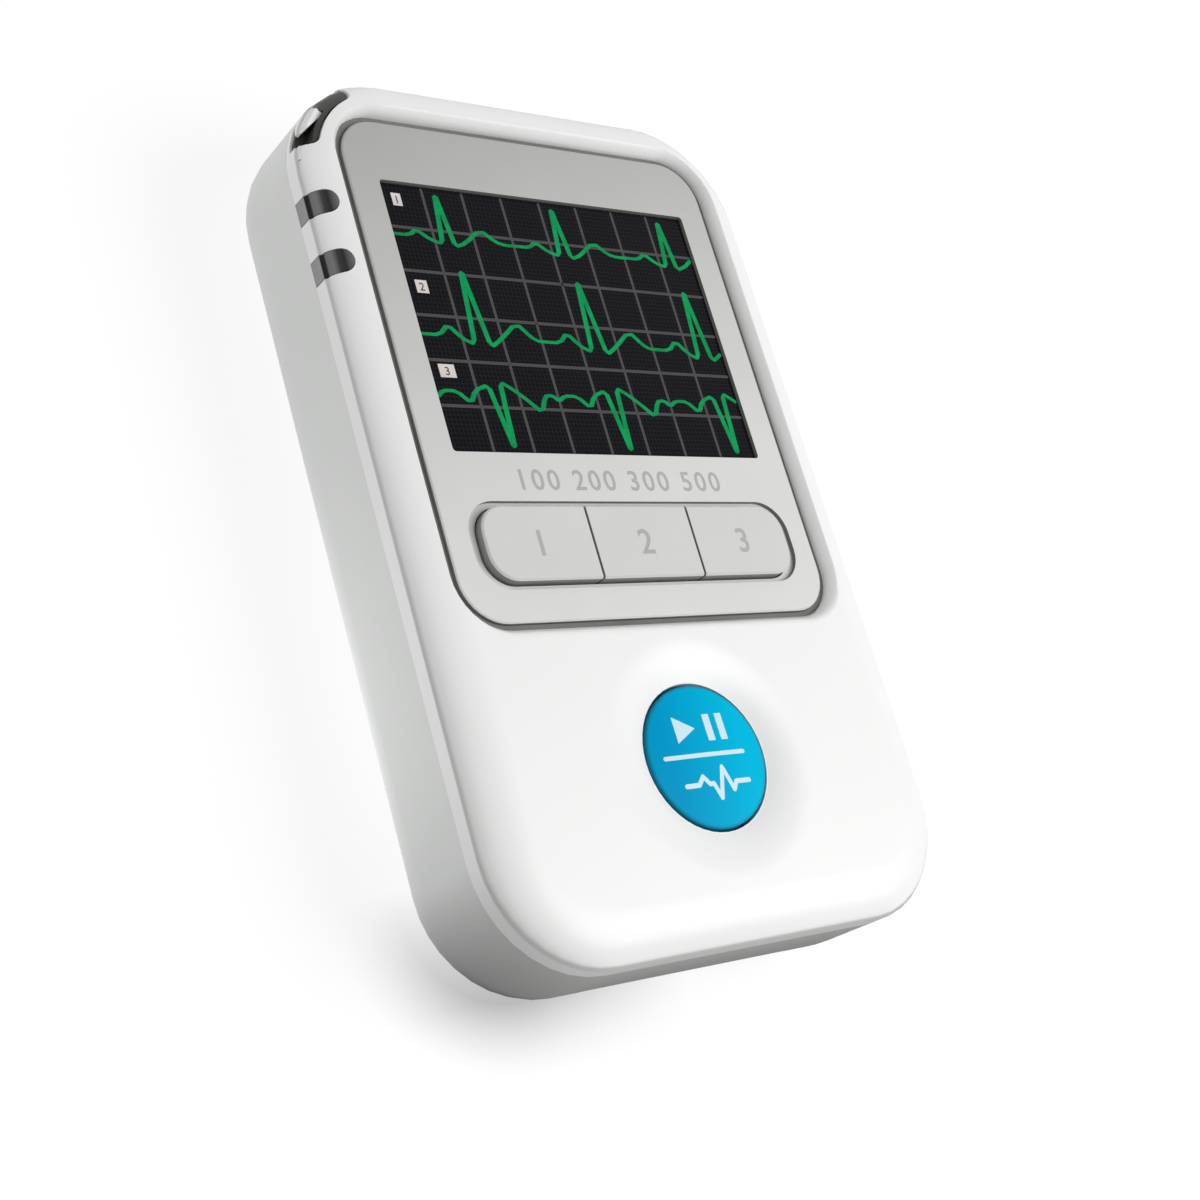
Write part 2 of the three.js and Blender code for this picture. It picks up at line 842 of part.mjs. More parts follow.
// Dark seal that lies in the groove round the panel
function panelSeal() {
  const layer = (grow, bottom, top) => slab({
    width: panelWidth + 2 * grow,
    length: panelLength + 2 * grow,
    radius: panelCornerRadius + grow,
    bottom,
    top,
    y: recessCentreY,
    steps: cornerSteps,
  });
  const sealTop = panelBottom + sealHeight;
  const core = layer(sealFit, panelBottom - cutMargin, sealTop + cutMargin);
  return layer(panelGroove - sealFit, panelBottom, sealTop).subtract(core);
}

function displayWindow() {
  return displaySlab(windowBorder, windowCorner, panelBottom, panelTop - windowSet);
}

function lcdGasket() {
  return displaySlab(cellBorder, cellCorner, cellTop, panelBottom).subtract(
    displaySlab(cellBorder - gasketBand, cellCorner, cellTop - cutMargin, panelBottom + cutMargin),
  );
}

function lcdCell() {
  return displaySlab(cellBorder, cellCorner, cellBottom, cellTop);
}

// Pressed tray that holds the cell on four legs over the main board
function lcdFrame() {
  const border = cellBorder + plugFit;
  const outer = displaySlab(border + trayWall, cellCorner + trayWall, trayBottom, cellTop - fit);
  const pocket = displaySlab(border, cellCorner, cellBottom, cellTop + cutMargin);
  const flexExit = block(
    0,
    displayY + trayHalfLength,
    flexWidth + 2 * fit,
    2 * (trayWall + plugFit),
    cellBottom,
    cellTop + cutMargin,
  );
  const legs = [[1, 1], [-1, 1], [-1, -1], [1, -1]].map(([sideX, sideY]) => rod(
    trayLegRadius,
    mainBoardTop + plugFit,
    trayBottom + trayFloor / 2,
    sideX * (trayHalfWidth - trayLegRadius),
    displayY + sideY * (trayHalfLength - trayLegRadius),
  ));
  return joined([cut(outer, [pocket, flexExit]), ...legs]);
}

// Ribbon from the upper edge of the cell, round and back down to the main board
function lcdFlex() {
  const startY = displayY + displayHeight / 2 + cellBorder + plugFit / 2;
  const upper = (cellBottom + cellTop) / 2;
  const lower = mainBoardTop + plugFit;
  const bend = (upper - lower) / 2;
  const line = [new THREE.Vector2(startY, upper)];
  for (let step = 0; step <= arcSteps; step += 1) {
    const angle = (step / arcSteps) * Math.PI;
    line.push(new THREE.Vector2(
      startY + flexReach + (bend / 2) * Math.sin(angle),
      lower + bend + bend * Math.cos(angle),
    ));
  }
  line.push(new THREE.Vector2(startY + flexReach - flexFoot, lower));
  const side = (sign) => line.map((point, i) => {
    const before = line[Math.max(i - 1, 0)];
    const after = line[Math.min(i + 1, line.length - 1)];
    const along = after.clone().sub(before).normalize();
    return new THREE.Vector2(-along.y, along.x).multiplyScalar((sign * flexThickness) / 2).add(point);
  });
  return prismAlongX([...side(1), ...side(-1).reverse()], -flexWidth / 2, flexWidth / 2);
}

// Soft keys: one shape for the whole group, cut into cells, so the outer two round off at their ends
function softKey(index) {
  const [x] = keyPlaces[index];
  const cell = box(
    index === 0 ? -bodyWidth : x - keyPitch / 2 + keyGap / 2,
    index === keyCount - 1 ? bodyWidth : x + keyPitch / 2 - keyGap / 2,
    keyY - keyLength,
    keyY + keyLength,
    keyBoardTop,
    frontZ,
  );
  const caps = slab({
    width: keyGroupWidth,
    length: keyLength,
    radius: keyCornerRadius,
    bottom: keyFlangeBottom,
    top: panelTop + keyProud,
    y: keyY,
    edge: keyEdge,
    steps: cornerSteps,
  });
  const flange = slab({
    width: keyGroupWidth + 2 * keyFlangeOverlap,
    length: keyLength + 2 * keyFlangeOverlap,
    radius: keyCornerRadius + keyFlangeOverlap,
    bottom: keyFlangeBottom,
    top: keyFlangeBottom + flangeThickness,
    y: keyY,
  });
  const domeRoom = rod(domeRadius + fit, keyBoardTop, domeClearTop, x, keyY);
  return caps.add(flange).intersect(cell).subtract(domeRoom);
}

// Event button: a shallow crown over a flange that the housing holds from above
function eventButton() {
  const flangeRadius = buttonRadius + buttonFlangeOverlap;
  const crownRadius = buttonRadius - buttonEdge;
  const crownFoot = dishFloor + buttonEdge;
  const profile = [
    [0, domeClearTop],
    [domeRadius + fit, domeClearTop],
    [domeRadius + fit, buttonFlangeBottom],
    [flangeRadius, buttonFlangeBottom],
    [flangeRadius, buttonFlangeTop],
    [buttonRadius, buttonFlangeTop],
  ];
  for (let step = 0; step < filletSteps; step += 1) {
    const angle = (step / filletSteps) * (Math.PI / 2);
    profile.push([
      crownRadius + buttonEdge * Math.cos(angle),
      dishFloor + buttonEdge * Math.sin(angle),
    ]);
  }
  for (let step = 0; step <= arcSteps; step += 1) {
    const part = 1 - step / arcSteps;
    profile.push([crownRadius * part, crownFoot + (buttonProud - buttonEdge) * (1 - part * part)]);
  }
  return turned(profile, 0, buttonY, 2 * roundSides);
}

// Key board, the sheet on it and the domes
function keyBoard() {
  const plate = (width, length, y) => slab({
    width,
    length,
    radius: keyBoardRadius,
    bottom: keyBoardBottom,
    top: keyBoardTop,
    y,
  });
  const keyArea = plate(2 * keyBoardHalfWidth, keyBoardLength, keyBoardTopEdge - keyBoardLength / 2);
  const stem = plate(
    keyBoardStem,
    keyBoardTopEdge - keyBoardBottomEdge,
    (keyBoardTopEdge + keyBoardBottomEdge) / 2,
  );
  return cut(keyArea.add(stem), pinPlaces.map(([x, y]) => rod(
    pinRadius + plugFit,
    keyBoardBottom - cutMargin,
    keyBoardTop + cutMargin,
    x,
    y,
  )));
}

function domeSwitch([x, y]) {
  const bottom = keyBoardTop + domeSheetThickness;
  const steps = filletSteps + 1;
  const profile = [[0, bottom], [domeRadius, bottom]];
  for (let step = 1; step < steps; step += 1) {
    const angle = (step / steps) * (Math.PI / 2);
    profile.push([domeRadius * Math.cos(angle), bottom + domeHeight * Math.sin(angle)]);
  }
  profile.push([0, bottom + domeHeight]);
  return turned(profile, x, y, smallSides);
}

function domeSheet() {
  const margin = domeRadius + domeSheetBorder;
  return slab({
    width: (keyCount - 1) * keyPitch + 2 * margin,
    length: keyY - buttonY + 2 * margin,
    radius: domeRadius,
    bottom: keyBoardTop,
    top: keyBoardTop + domeSheetThickness,
    y: (keyY + buttonY) / 2,
  });
}

// Main board: it spans the top, with an arm on each side of the cells
function mainBoard() {
  const plate = slab({
    width: 2 * mainBoardHalfWidth,
    length: mainBoardTopEdge - boardArmEnd,
    radius: cornerRadius - wall - 2 * fit,
    bottom: mainBoardBottom,
    top: mainBoardTop,
    y: (mainBoardTopEdge + boardArmEnd) / 2,
    steps: cornerSteps,
  });
  const bayNotch = box(
    -boardArmStart,
    boardArmStart,
    boardArmEnd - cutMargin,
    boardArmRoot,
    mainBoardBottom - cutMargin,
    mainBoardTop + cutMargin,
  );
  const holes = (places, radius) => places.map(([x, y]) => rod(
    radius,
    mainBoardBottom - cutMargin,
    mainBoardTop + cutMargin,
    x,
    y,
  ));
  return cut(plate, [
    bayNotch,
    ...holes(bossPlaces.slice(0, 2), rearBossRadius + fit),
    ...holes(postPlaces, boardScrewRadius + plugFit),
  ]);
}

function shieldCan() {
  return slab({
    width: shield.width,
    length: shield.length,
    radius: 2 * shield.edge,
    bottom: mainBoardTop,
    top: mainBoardTop + shield.height,
    y: topEnd - shield.fromTop,
    edge: shield.edge,
  });
}

function beeper() {
  return rod(
    beeperSize.radius,
    mainBoardBottom - beeperSize.height,
    mainBoardBottom,
    boardArmStart + beeperSize.fromArm,
    topEnd - beeperSize.fromTop,
    roundSides,
  );
}

// Card socket under the main board, and the card in it
function cardSocket() {
  const start = cardSocketY - cardSocketLength / 2;
  const end = cardSocketY + cardSocketLength / 2;
  const floor = mainBoardBottom - cardSocketHeight;
  const body = box(
    cardX - cardSocketWidth / 2,
    cardX + cardSocketWidth / 2,
    start,
    end,
    floor,
    mainBoardBottom,
  );
  const slot = box(
    cardX - cardSocketWidth / 2 + cardSocketWall,
    cardX + cardSocketWidth / 2 - cardSocketWall,
    start - cutMargin,
    end - cardSocketWall,
    floor + cardSocketWall,
    mainBoardBottom - cardSocketWall,
  );
  return body.subtract(slot);
}

function memoryCard() {
  const bottom = mainBoardBottom - cardSocketHeight + cardSocketWall + plugFit;
  return slab({
    width: card.width,
    length: card.length,
    radius: cardSocketWall,
    bottom,
    top: bottom + card.thickness,
    x: cardX,
    y: cardSocketY - cardSocketLength / 2 - card.out + card.length / 2,
  });
}

// Board to board connector between an arm of the main board and the key board
function boardLink() {
  return block(
    boardArmStart + link.fromArm,
    (keyBoardTopEdge + boardArmEnd) / 2,
    link.width,
    link.length,
    mainBoardTop,
    keyBoardBottom,
  );
}

function indicatorLed(index) {
  const top = mainBoardTop + led.height;
  return block(lightPipeX, indicatorY(index), led.width, led.length, mainBoardTop, top);
}

// Socket for the patient leads
function leadSocketShell() {
  const body = box(
    -leadSocketWidth / 2,
    leadSocketWidth / 2,
    leadSocketY - leadSocketDepth,
    leadSocketY,
    leadSocketBottom,
    leadSocketTop,
  );
  const mouth = box(
    -leadSocketWidth / 2 + leadSocketWall,
    leadSocketWidth / 2 - leadSocketWall,
    leadSocketY - leadSocketDepth + leadSocketBack,
    leadSocketY + cutMargin,
    leadSocketBottom + leadSocketWall,
    leadSocketTop - leadSocketWall,
  );
  return body.subtract(mouth);
}

function leadSocketCore() {
  const width = leadSocketWidth - 2 * (leadSocketWall + leadTongueBorder);
  const start = leadSocketY - leadSocketDepth + leadSocketBack;
  const end = leadSocketY - leadTongueBorder;
  const middle = (leadSocketBottom + leadSocketTop) / 2;
  const half = leadTongueThickness / 2;
  const tongue = box(-width / 2, width / 2, start, end, middle - half, middle + half);
  const pitch = width / (leadPinCount + 1);
  const pins = Array.from({ length: leadPinCount }, (_, i) => box(
    -width / 2 + (i + 1) * pitch - leadPinWidth / 2,
    -width / 2 + (i + 1) * pitch + leadPinWidth / 2,
    start,
    end - leadPinWidth,
    middle - half - leadPinRise,
    middle + half + leadPinRise,
  ));
  return joined([tongue, ...pins]);
}

function leadSocketOpening() {
  return block(
    0,
    topEnd,
    leadSocketWidth + 2 * fit,
    2 * (wall + cutMargin),
    leadSocketBottom - fit,
    seamZ + cutMargin,
  );
}

// Data port on the right side
function usbOutline(grow) {
  return roundedRing(
    usbWidth + 2 * grow,
    usbHeight + 2 * grow,
    usbCorner + grow,
    usbY,
    usbZ,
    filletSteps,
  );
}

function usbPort() {
  const start = usbX - usbDepth;
  const shell = prismAlongX(usbOutline(0), start, usbX);
  const mouth = prismAlongX(usbOutline(-usbWall), start + usbWall, usbX + cutMargin);
  const tongue = box(
    start,
    usbX - usbCorner,
    usbY - usbTongueWidth / 2,
    usbY + usbTongueWidth / 2,
    usbZ - usbTongueThickness / 2,
    usbZ + usbTongueThickness / 2,
  );
  return shell.subtract(mouth).add(tongue);
}

function usbOpening() {
  return prismAlongX(usbOutline(fit), bodyWidth / 2 - wall - cutMargin, bodyWidth / 2 + cutMargin);
}

// The plan of the door, grown by a clearance, from below the back up to a height
function doorRegion(grow, top) {
  return box(
    -doorHalfWidth - grow,
    doorHalfWidth + grow,
    bottomEnd - cutMargin,
    doorEnd + grow,
    -cutMargin,
    top,
  );
}

// Rear housing: shell with a lip, cell bay, door seat, bosses and posts
function rearHousing() {
  const shell = backBody(0, seamZ).subtract(backBody(wall, seamZ + cutMargin));
  const lip = cut(prism(bodyRing(lipOuterInset), seamZ - cutMargin, lipTop), [
    prism(bodyRing(wall), seamZ - 2 * cutMargin, lipTop + cutMargin),
  ]);
  const lipCut = cornerSector({
    inner: cornerRadius - eyeletDepth - eyeletWall,
    outer: cornerRadius + cutMargin,
    start: eyeletStart - eyeletMargin,
    end: eyeletEnd + eyeletMargin,
    bottom: seamZ,
    top: lipTop + cutMargin,
  });
  const doorSeat = backBody(doorSeatZ, seamZ)
    .subtract(backBody(doorSeatZ + doorSlab, seamZ + cutMargin))
    .intersect(doorRegion(doorSlab, backRounding + 2 * doorSlab));
  const bay = box(
    -bayHalfWidth - bayWall,
    bayHalfWidth + bayWall,
    bayStart - bayWall,
    bayEnd + bayWall,
    doorSeatZ,
    bayRoofTop,
  );
  const bayRoom = box(-bayHalfWidth, bayHalfWidth, bayStart, bayEnd, -cutMargin, bayRoofBottom);
  const doorRecess = backBody(-cutMargin, backRounding)
    .subtract(backBody(doorSeatZ, backRounding + cutMargin))
    .intersect(doorRegion(doorGap, backRounding));
  const tongueChannel = box(
    -doorTongueWidth / 2 - fit,
    doorTongueWidth / 2 + fit,
    bottomEnd - cutMargin,
    doorEnd + doorTongueReach + fit,
    doorTop,
    tongueTop + fit,
  );
  const tongueCover = box(
    -doorHalfWidth,
    doorHalfWidth,
    doorEnd - doorSlab,
    doorEnd + doorTongueReach + fit + doorSlab,
    doorTop,
    tongueTop + fit + doorSlab,
  );
  const bosses = bossPlaces.map(([x, y]) => rod(rearBossRadius, wall / 2, bossMeet - fit, x, y));
  const posts = [...postPlaces, ...armPostPlaces]
    .map(([x, y]) => rod(postRadius, wall / 2, mainBoardBottom - plugFit, x, y));
  const pins = pinPlaces.map(([x, y]) => rod(pinRadius, bayRoofBottom, keyBoardTop + fit, x, y));
  const solids = [shell, lip, doorSeat, bay, tongueCover, ...bosses, ...posts, ...pins];
  return cut(joined(solids), [
    lipCut,
    doorRecess,
    bayRoom,
    tongueChannel,
    leadSocketOpening(),
    usbOpening(),
    ...bossPlaces.map(([x, y]) => rod(frontBossRadius + fit, bossMeet - fit, lipTop + cutMargin, x, y)),
    ...bossPlaces.map(([x, y]) => rod(screwRadius + plugFit, -cutMargin, bossMeet, x, y)),
    ...bossPlaces.map(([x, y]) => rod(screwHeadRadius + fit, -cutMargin, screwHeadDepth, x, y)),
    ...postPlaces.map(([x, y]) => rod(
      boardScrewRadius + plugFit,
      mainBoardTop - boardScrewReach - fit,
      mainBoardTop,
      x,
      y,
    )),
  ]);
}

// Battery door: a plate that wraps round the bottom end, with a ribbed grip and a tongue
function batteryDoor() {
  const plate = backBody(doorInset, backRounding)
    .subtract(backBody(doorTop, backRounding + cutMargin))
    .intersect(doorRegion(0, backRounding - fit));
  const gripY = bayStart + gripFromBay;
  const scoop = slab({
    width: gripWidth + 2 * gripRib,
    length: gripCount * gripPitch + 2 * gripRib,
    radius: 2 * gripRib,
    bottom: -cutMargin,
    top: doorInset + gripDepth,
    y: gripY,
  });
  const ribs = Array.from({ length: gripCount }, (_, i) => block(
    0,
    gripY + (i - (gripCount - 1) / 2) * gripPitch,
    gripWidth,
    gripRib,
    doorInset,
    doorInset + gripDepth + plugFit,
  ));
  const tongueStart = doorEnd - doorTongueRoot;
  const root = block(
    0,
    doorEnd - doorTongueRoot / 2,
    doorTongueWidth,
    doorTongueRoot,
    doorInset + gripDepth,
    tongueTop,
  );
  const tongue = box(
    -doorTongueWidth / 2,
    doorTongueWidth / 2,
    tongueStart,
    doorEnd + doorTongueReach,
    doorSeatZ,
    tongueTop,
  );
  return joined([plate.subtract(scoop), ...ribs, root, tongue]);
}

// Cells and their contacts, drawn along +Y
function cellSolid() {
  const radius = cellDiameter / 2;
  const profile = [
    [0, 0],
    [radius - cellBevel, 0],
    [radius, cellBevel],
    [radius, cellBodyLength - cellBevel],
    [radius - cellBevel, cellBodyLength],
    [cellNubRadius, cellBodyLength],
    [cellNubRadius, cellBodyLength + cellNubLength],
    [0, cellBodyLength + cellNubLength],
  ];
  return toSolid(new THREE.LatheGeometry(profile.map(([r, y]) => new THREE.Vector2(r, y)), roundSides));
}

function contactPlate() {
  const side = cellDiameter - 2 * contactBorder;
  return toSolid(new THREE.BoxGeometry(side, contactThickness, side));
}

// A conical coil, made as one tube round a helix
function contactSpring() {
  const steps = springTurns * springStepsPerTurn;
  const rings = [];
  for (let step = 0; step <= steps; step += 1) {
    const part = step / steps;
    const angle = part * springTurns * 2 * Math.PI;
    const coil = springWideRadius + (springNarrowRadius - springWideRadius) * part;
    const along = springWire / 2 + (springLength - springWire) * part;
    const ring = [];
    for (let side = 0; side < springSides; side += 1) {
      const turn = (side / springSides) * 2 * Math.PI;
      const radial = coil + (springWire / 2) * Math.cos(turn);
      ring.push(new THREE.Vector3(
        radial * Math.cos(angle),
        along + (springWire / 2) * Math.sin(turn),
        radial * Math.sin(angle),
      ));
    }
    rings.push(ring);
  }
  return skin(rings);
}

// Screws
function housingScrew([x, y]) {
  const headBottom = screwHeadDepth - screwHeadHeight;
  return turned([
    [0, headBottom + socketDepth],
    [socketRadius, headBottom + socketDepth],
    [socketRadius, headBottom],
    [screwHeadRadius, headBottom],
    [screwHeadRadius, screwHeadDepth],
    [screwRadius, screwHeadDepth],
    [screwRadius, screwTip],
    [0, screwTip],
  ], x, y, smallSides);
}

function boardScrew([x, y]) {
  return turned([
    [0, mainBoardTop - boardScrewReach],
    [boardScrewRadius, mainBoardTop - boardScrewReach],
    [boardScrewRadius, mainBoardTop],
    [boardScrewHeadRadius, mainBoardTop],
    [boardScrewHeadRadius, mainBoardTop + boardScrewHeadHeight],
    [0, mainBoardTop + boardScrewHeadHeight],
  ], x, y, smallSides);
}

// The assembly
const holter = new THREE.Group();

function addPart(name, solid, material, parent = holter) {
  const mesh = new THREE.Mesh(toGeometry(solid), material);
  mesh.name = name;
  parent.add(mesh);
  return mesh;
}

addPart('front_housing', frontHousing(), materials.frontShell);
addPart('eyelet_liner', eyeletLiner(), materials.dark);
addPart('front_panel', frontPanel(), materials.panel);
addPart('panel_seal', panelSeal(), materials.foam);
addPart('display_window', displayWindow(), materials.displayGlass);
addPart('lcd_gasket', lcdGasket(), materials.foam);
addPart('lcd_cell', lcdCell(), materials.cellGlass);
addPart('lcd_frame', lcdFrame(), materials.steel);
addPart('lcd_flex', lcdFlex(), materials.ribbon);
for (let index = 0; index < keyCount; index += 1) {
  addPart(`soft_key_${index + 1}`, softKey(index), materials.key);
}
addPart('event_button', eventButton(), materials.blue);
addPart('key_board', keyBoard(), materials.board);
addPart('dome_sheet', domeSheet(), materials.sheet);
domePlaces.forEach((place, index) => {
  addPart(`dome_switch_${index + 1}`, domeSwitch(place), materials.steel);
});
addPart('main_board', mainBoard(), materials.board);
addPart('shield_can', shieldCan(), materials.nickel);
addPart('beeper', beeper(), materials.blackPlastic);
addPart('card_socket', cardSocket(), materials.nickel);
addPart('memory_card', memoryCard(), materials.blackPlastic);
addPart('board_link', boardLink(), materials.blackPlastic);
indicatorIndexes.forEach((index) => {
  addPart(`indicator_window_${index + 1}`, indicatorWindow(index), materials.dark);
  addPart(`indicator_led_${index + 1}`, indicatorLed(index), materials.lamp);
});
addPart('lead_socket_shell', leadSocketShell(), materials.steel);
addPart('lead_socket_core', leadSocketCore(), materials.blackPlastic);
addPart('usb_port', usbPort(), materials.steel);
addPart('rear_housing', rearHousing(), materials.rearShell);
addPart('battery_door', batteryDoor(), materials.rearShell);

// The two cells lie head to tail, so the second row is the first one turned round
[-1, 1].forEach((side, index) => {
  const row = new THREE.Group();
  row.position.set((side * (cellDiameter + cellSpacing)) / 2, (bayStart + bayEnd) / 2, cellZ);
  row.rotation.z = index * Math.PI;
  holter.add(row);
  const springY = -bayLength / 2 + fit + contactThickness;
  const plateY = bayLength / 2 - fit - contactThickness / 2;
  const pieces = [
    [`battery_contact_${index + 1}`, contactPlate(), materials.nickel, plateY],
    [`spring_plate_${index + 1}`, contactPlate(), materials.nickel, -plateY],
    [`battery_spring_${index + 1}`, contactSpring(), materials.nickel, springY + fit],
    [`battery_${index + 1}`, cellSolid(), materials.cellSleeve, springY + springLength + 2 * fit],
  ];
  pieces.forEach(([name, solid, material, y]) => {
    addPart(name, solid, material, row).position.y = y;
  });
});

bossPlaces.forEach((place, index) => {
  addPart(`housing_screw_${index + 1}`, housingScrew(place), materials.steel);
});
postPlaces.forEach((place, index) => {
  addPart(`board_screw_${index + 1}`, boardScrew(place), materials.steel);
});

export default holter;
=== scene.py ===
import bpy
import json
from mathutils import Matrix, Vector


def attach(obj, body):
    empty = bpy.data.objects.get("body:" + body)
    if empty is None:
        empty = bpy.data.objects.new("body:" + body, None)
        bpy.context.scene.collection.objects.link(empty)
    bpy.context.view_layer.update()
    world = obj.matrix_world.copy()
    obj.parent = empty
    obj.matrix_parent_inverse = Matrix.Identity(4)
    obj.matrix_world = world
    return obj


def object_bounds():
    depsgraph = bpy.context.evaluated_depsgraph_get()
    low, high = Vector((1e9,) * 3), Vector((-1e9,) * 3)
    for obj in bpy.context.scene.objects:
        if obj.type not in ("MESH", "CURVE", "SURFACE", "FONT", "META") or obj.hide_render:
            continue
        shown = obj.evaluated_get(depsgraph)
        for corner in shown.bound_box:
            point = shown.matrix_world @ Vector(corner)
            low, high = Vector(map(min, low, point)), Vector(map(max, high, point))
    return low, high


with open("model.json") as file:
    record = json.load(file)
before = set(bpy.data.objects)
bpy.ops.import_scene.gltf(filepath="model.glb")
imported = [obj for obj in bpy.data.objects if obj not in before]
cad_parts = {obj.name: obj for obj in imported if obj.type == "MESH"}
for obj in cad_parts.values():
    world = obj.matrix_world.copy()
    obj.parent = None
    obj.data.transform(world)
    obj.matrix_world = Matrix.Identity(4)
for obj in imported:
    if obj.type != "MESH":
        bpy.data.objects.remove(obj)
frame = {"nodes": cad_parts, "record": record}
cad_box = [list(corner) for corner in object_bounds()]

import json
import math

import bmesh
import bpy
from mathutils import Matrix, Vector
from mathutils.bvhtree import BVHTree

scene = bpy.context.scene
scene.view_settings.view_transform = "Standard"
MM = 0.001


def middle(name):
    """Middle of a node as seen from the front, in millimetres."""
    corners = [Vector(corner) for corner in frame["nodes"][name].bound_box]
    centre = sum(corners, Vector()) / len(corners) / MM
    return round(centre.x, 3), round(centre.y, 3)


# The case's outer skin, millimetres
HALF_WIDTH, HALF_LENGTH, HEIGHT = (round(side / MM, 3) for side in cad_box[1])
CORNER_RADIUS = 12
CORE_X = HALF_WIDTH - CORNER_RADIUS
CORE_Y = HALF_LENGTH - CORNER_RADIUS
BACK_ROUNDING = 6
SHOULDER_RUN = 5.2
SHOULDER_DROP = 2.2
CREASE_Z = HEIGHT - SHOULDER_DROP
CREASE_STEP = 0.25
CREASE_RISE = 0.15
SKIN_TOLERANCE = 0.12
CREASE_TOLERANCE = 0.01
SKIN_NODES = ("front_housing", "rear_housing", "indicator_window_1", "indicator_window_2",
              "eyelet_liner", "battery_door")

# Smooth shading: angles in degrees, a sliver in square metres and the width of a place in metres
WIDEST_BEND = 38
LEVEL_TILT = 0.5
SLIVER = 5e-8
SAME_PLACE = 1e-7

# The screen's chart squares and the dots between them, millimetres
SQUARE = 5.1
COLUMNS = 8
ROWS = 6
SCREEN_X, SCREEN_Y = middle("display_window")
SCREEN_LEFT = SCREEN_X - COLUMNS * SQUARE / 2
SCREEN_BOTTOM = SCREEN_Y - ROWS * SQUARE / 2
DOTS_IN_SQUARE = 10
DOT_WIDTH = 0.16

# Lines and number tags on the screen, millimetres
GRID_WIDTH = 0.36
TRACE_WIDTH = 0.36
STEEP_TRACE_WIDTH = 0.62
TAG_WIDTHS = (1.15, 1.45, 1.95)
TAG_HEIGHT = 1.5
TAG_DIGIT = 0.95

# Places on the screen and the points of one beat on each row, in squares from its bottom left
GRID_MARGIN = 0.05
TAG_PLACES = ((0.22, 5.5), (0.22, 3.5), (0.22, 1.62))
TRACE_START = 0.03
TRACE_END = 7.95
STEEP_STEP = 0.9
BEAT_LENGTH = 3
BEAT_COUNT = 3
BEATS = (
    [(0, 4.83), (0.4, 4.83), (0.6, 4.98), (0.9, 4.77), (1.17, 4.7), (1.31, 5.9), (1.48, 4.66),
     (1.74, 4.76), (2.22, 5.14), (2.55, 4.87), (2.8, 4.82)],
    [(0, 2.57), (0.48, 2.57), (0.72, 2.82), (1.0, 2.52), (1.27, 2.4), (1.43, 4.16), (1.66, 2.36),
     (1.95, 2.55), (2.46, 2.97), (2.75, 2.66), (2.9, 2.58)],
    [(0, 1.2), (0.18, 1.33), (0.5, 1.33), (0.78, 1.07), (0.95, 1.36), (1.3, 1.5), (1.53, 0.06),
     (1.62, 1.58), (1.9, 1.42), (2.2, 1.18), (2.48, 0.92), (2.66, 1.3), (2.85, 1.33)],
)

# Easing of a curve's corners, as shares of the stretch between two points
STEEP_EASE = 0.06
GENTLE_EASE = 0.22

# Numbers on the keys and on the panel, millimetres
KEY_ROW_Y = middle("soft_key_2")[1]
KEY_DIGIT_PITCH = 13.55
KEY_DIGIT = 2.8
SCALE_TEXT = "100 200 300 500"
SCALE_Y = 1.55
SCALE_DIGIT = 2.3
SCALE_SPACING = 1.26

# Font size and extra weight, as shares of the digits' height
FONT_SIZE = 1.38
BOLD = 0.016
CURVE_STEPS = 6

# Marks on the button, millimetres from its centre
BUTTON_Y = middle("event_button")[1]
BUTTON_RIM = (7.1, 7.5)
BAR_START = -5.6
BAR_STEP = 1.03
BAR_POINTS = 11
BAR_Y = 0.1
BAR_WIDTH = 0.45
START_MARK = ((-3.4, 1.5), (-0.8, 2.9), (-3.4, 4.3))
PAUSE_LEFTS = (0.6, 2.3)
PAUSE_BOTTOM = 1.5
PAUSE_SIZE = (0.9, 2.8)
PULSE = ((-3.9, -2.9), (-2.3, -2.9), (-1.6, -2.1), (-0.9, -2.9), (-0.4, -2.9), (0.2, -4.4),
         (1.2, -1.3), (2.1, -3.7), (2.6, -2.9), (4.4, -2.9))
PULSE_WIDTH = 0.5

# Prints, millimetres: how far they stand out, and a small step that parts crossing strokes
PRINT_LIFT = 0.012
GRID_LIFT = 0.004
TAG_LIFT = 0.008
BUTTON_LIFT = 0.03
STAGGER = 0.0004
STAGGER_STEPS = 7
STROKE_END_SIDES = 10

# Painted reflection and shade on a lens: grey levels up its side and across its top, each at a
# place in millimetres
LENS_SIDE = ((13.9, 0.31), (15.5, 0.34), (15.66, 0.02), (16.0, 0.02))
LENS_TOP = ((-29.0, 0.20), (-28.6, 0.19), (-28.15, 0.035), (-27.6, 0.018), (-27.3, 0.08),
            (-26.8, 0.15))

# Painted shade and painted reflection on the case, millimetres, each from where it starts to
# where it ends
LENS_SHOULDER = (CREASE_Z + 0.2, CREASE_Z + 0.4)
CREASE_SHADOW = ((CREASE_Z - 0.3, CREASE_Z - 0.15), (CREASE_Z + 0.5, CREASE_Z + 0.05))
BOTTOM_END = (-36, -47)
PANEL_PAINTED_SHADE = (46, 0)
PANEL_SLANT = 0.25
BUTTON_PAINTED_SHADE = (-5, 5)

# Copper band of a cell: how far from its middle it starts, and its soft edge, millimetres
BAND_FROM_MIDDLE = 9.35
BAND_EDGE = 0.3

# How upright a face's normal is where the painted shade of walls ends and where tops start
WALL_TO_TOP = (0.25, 0.6)

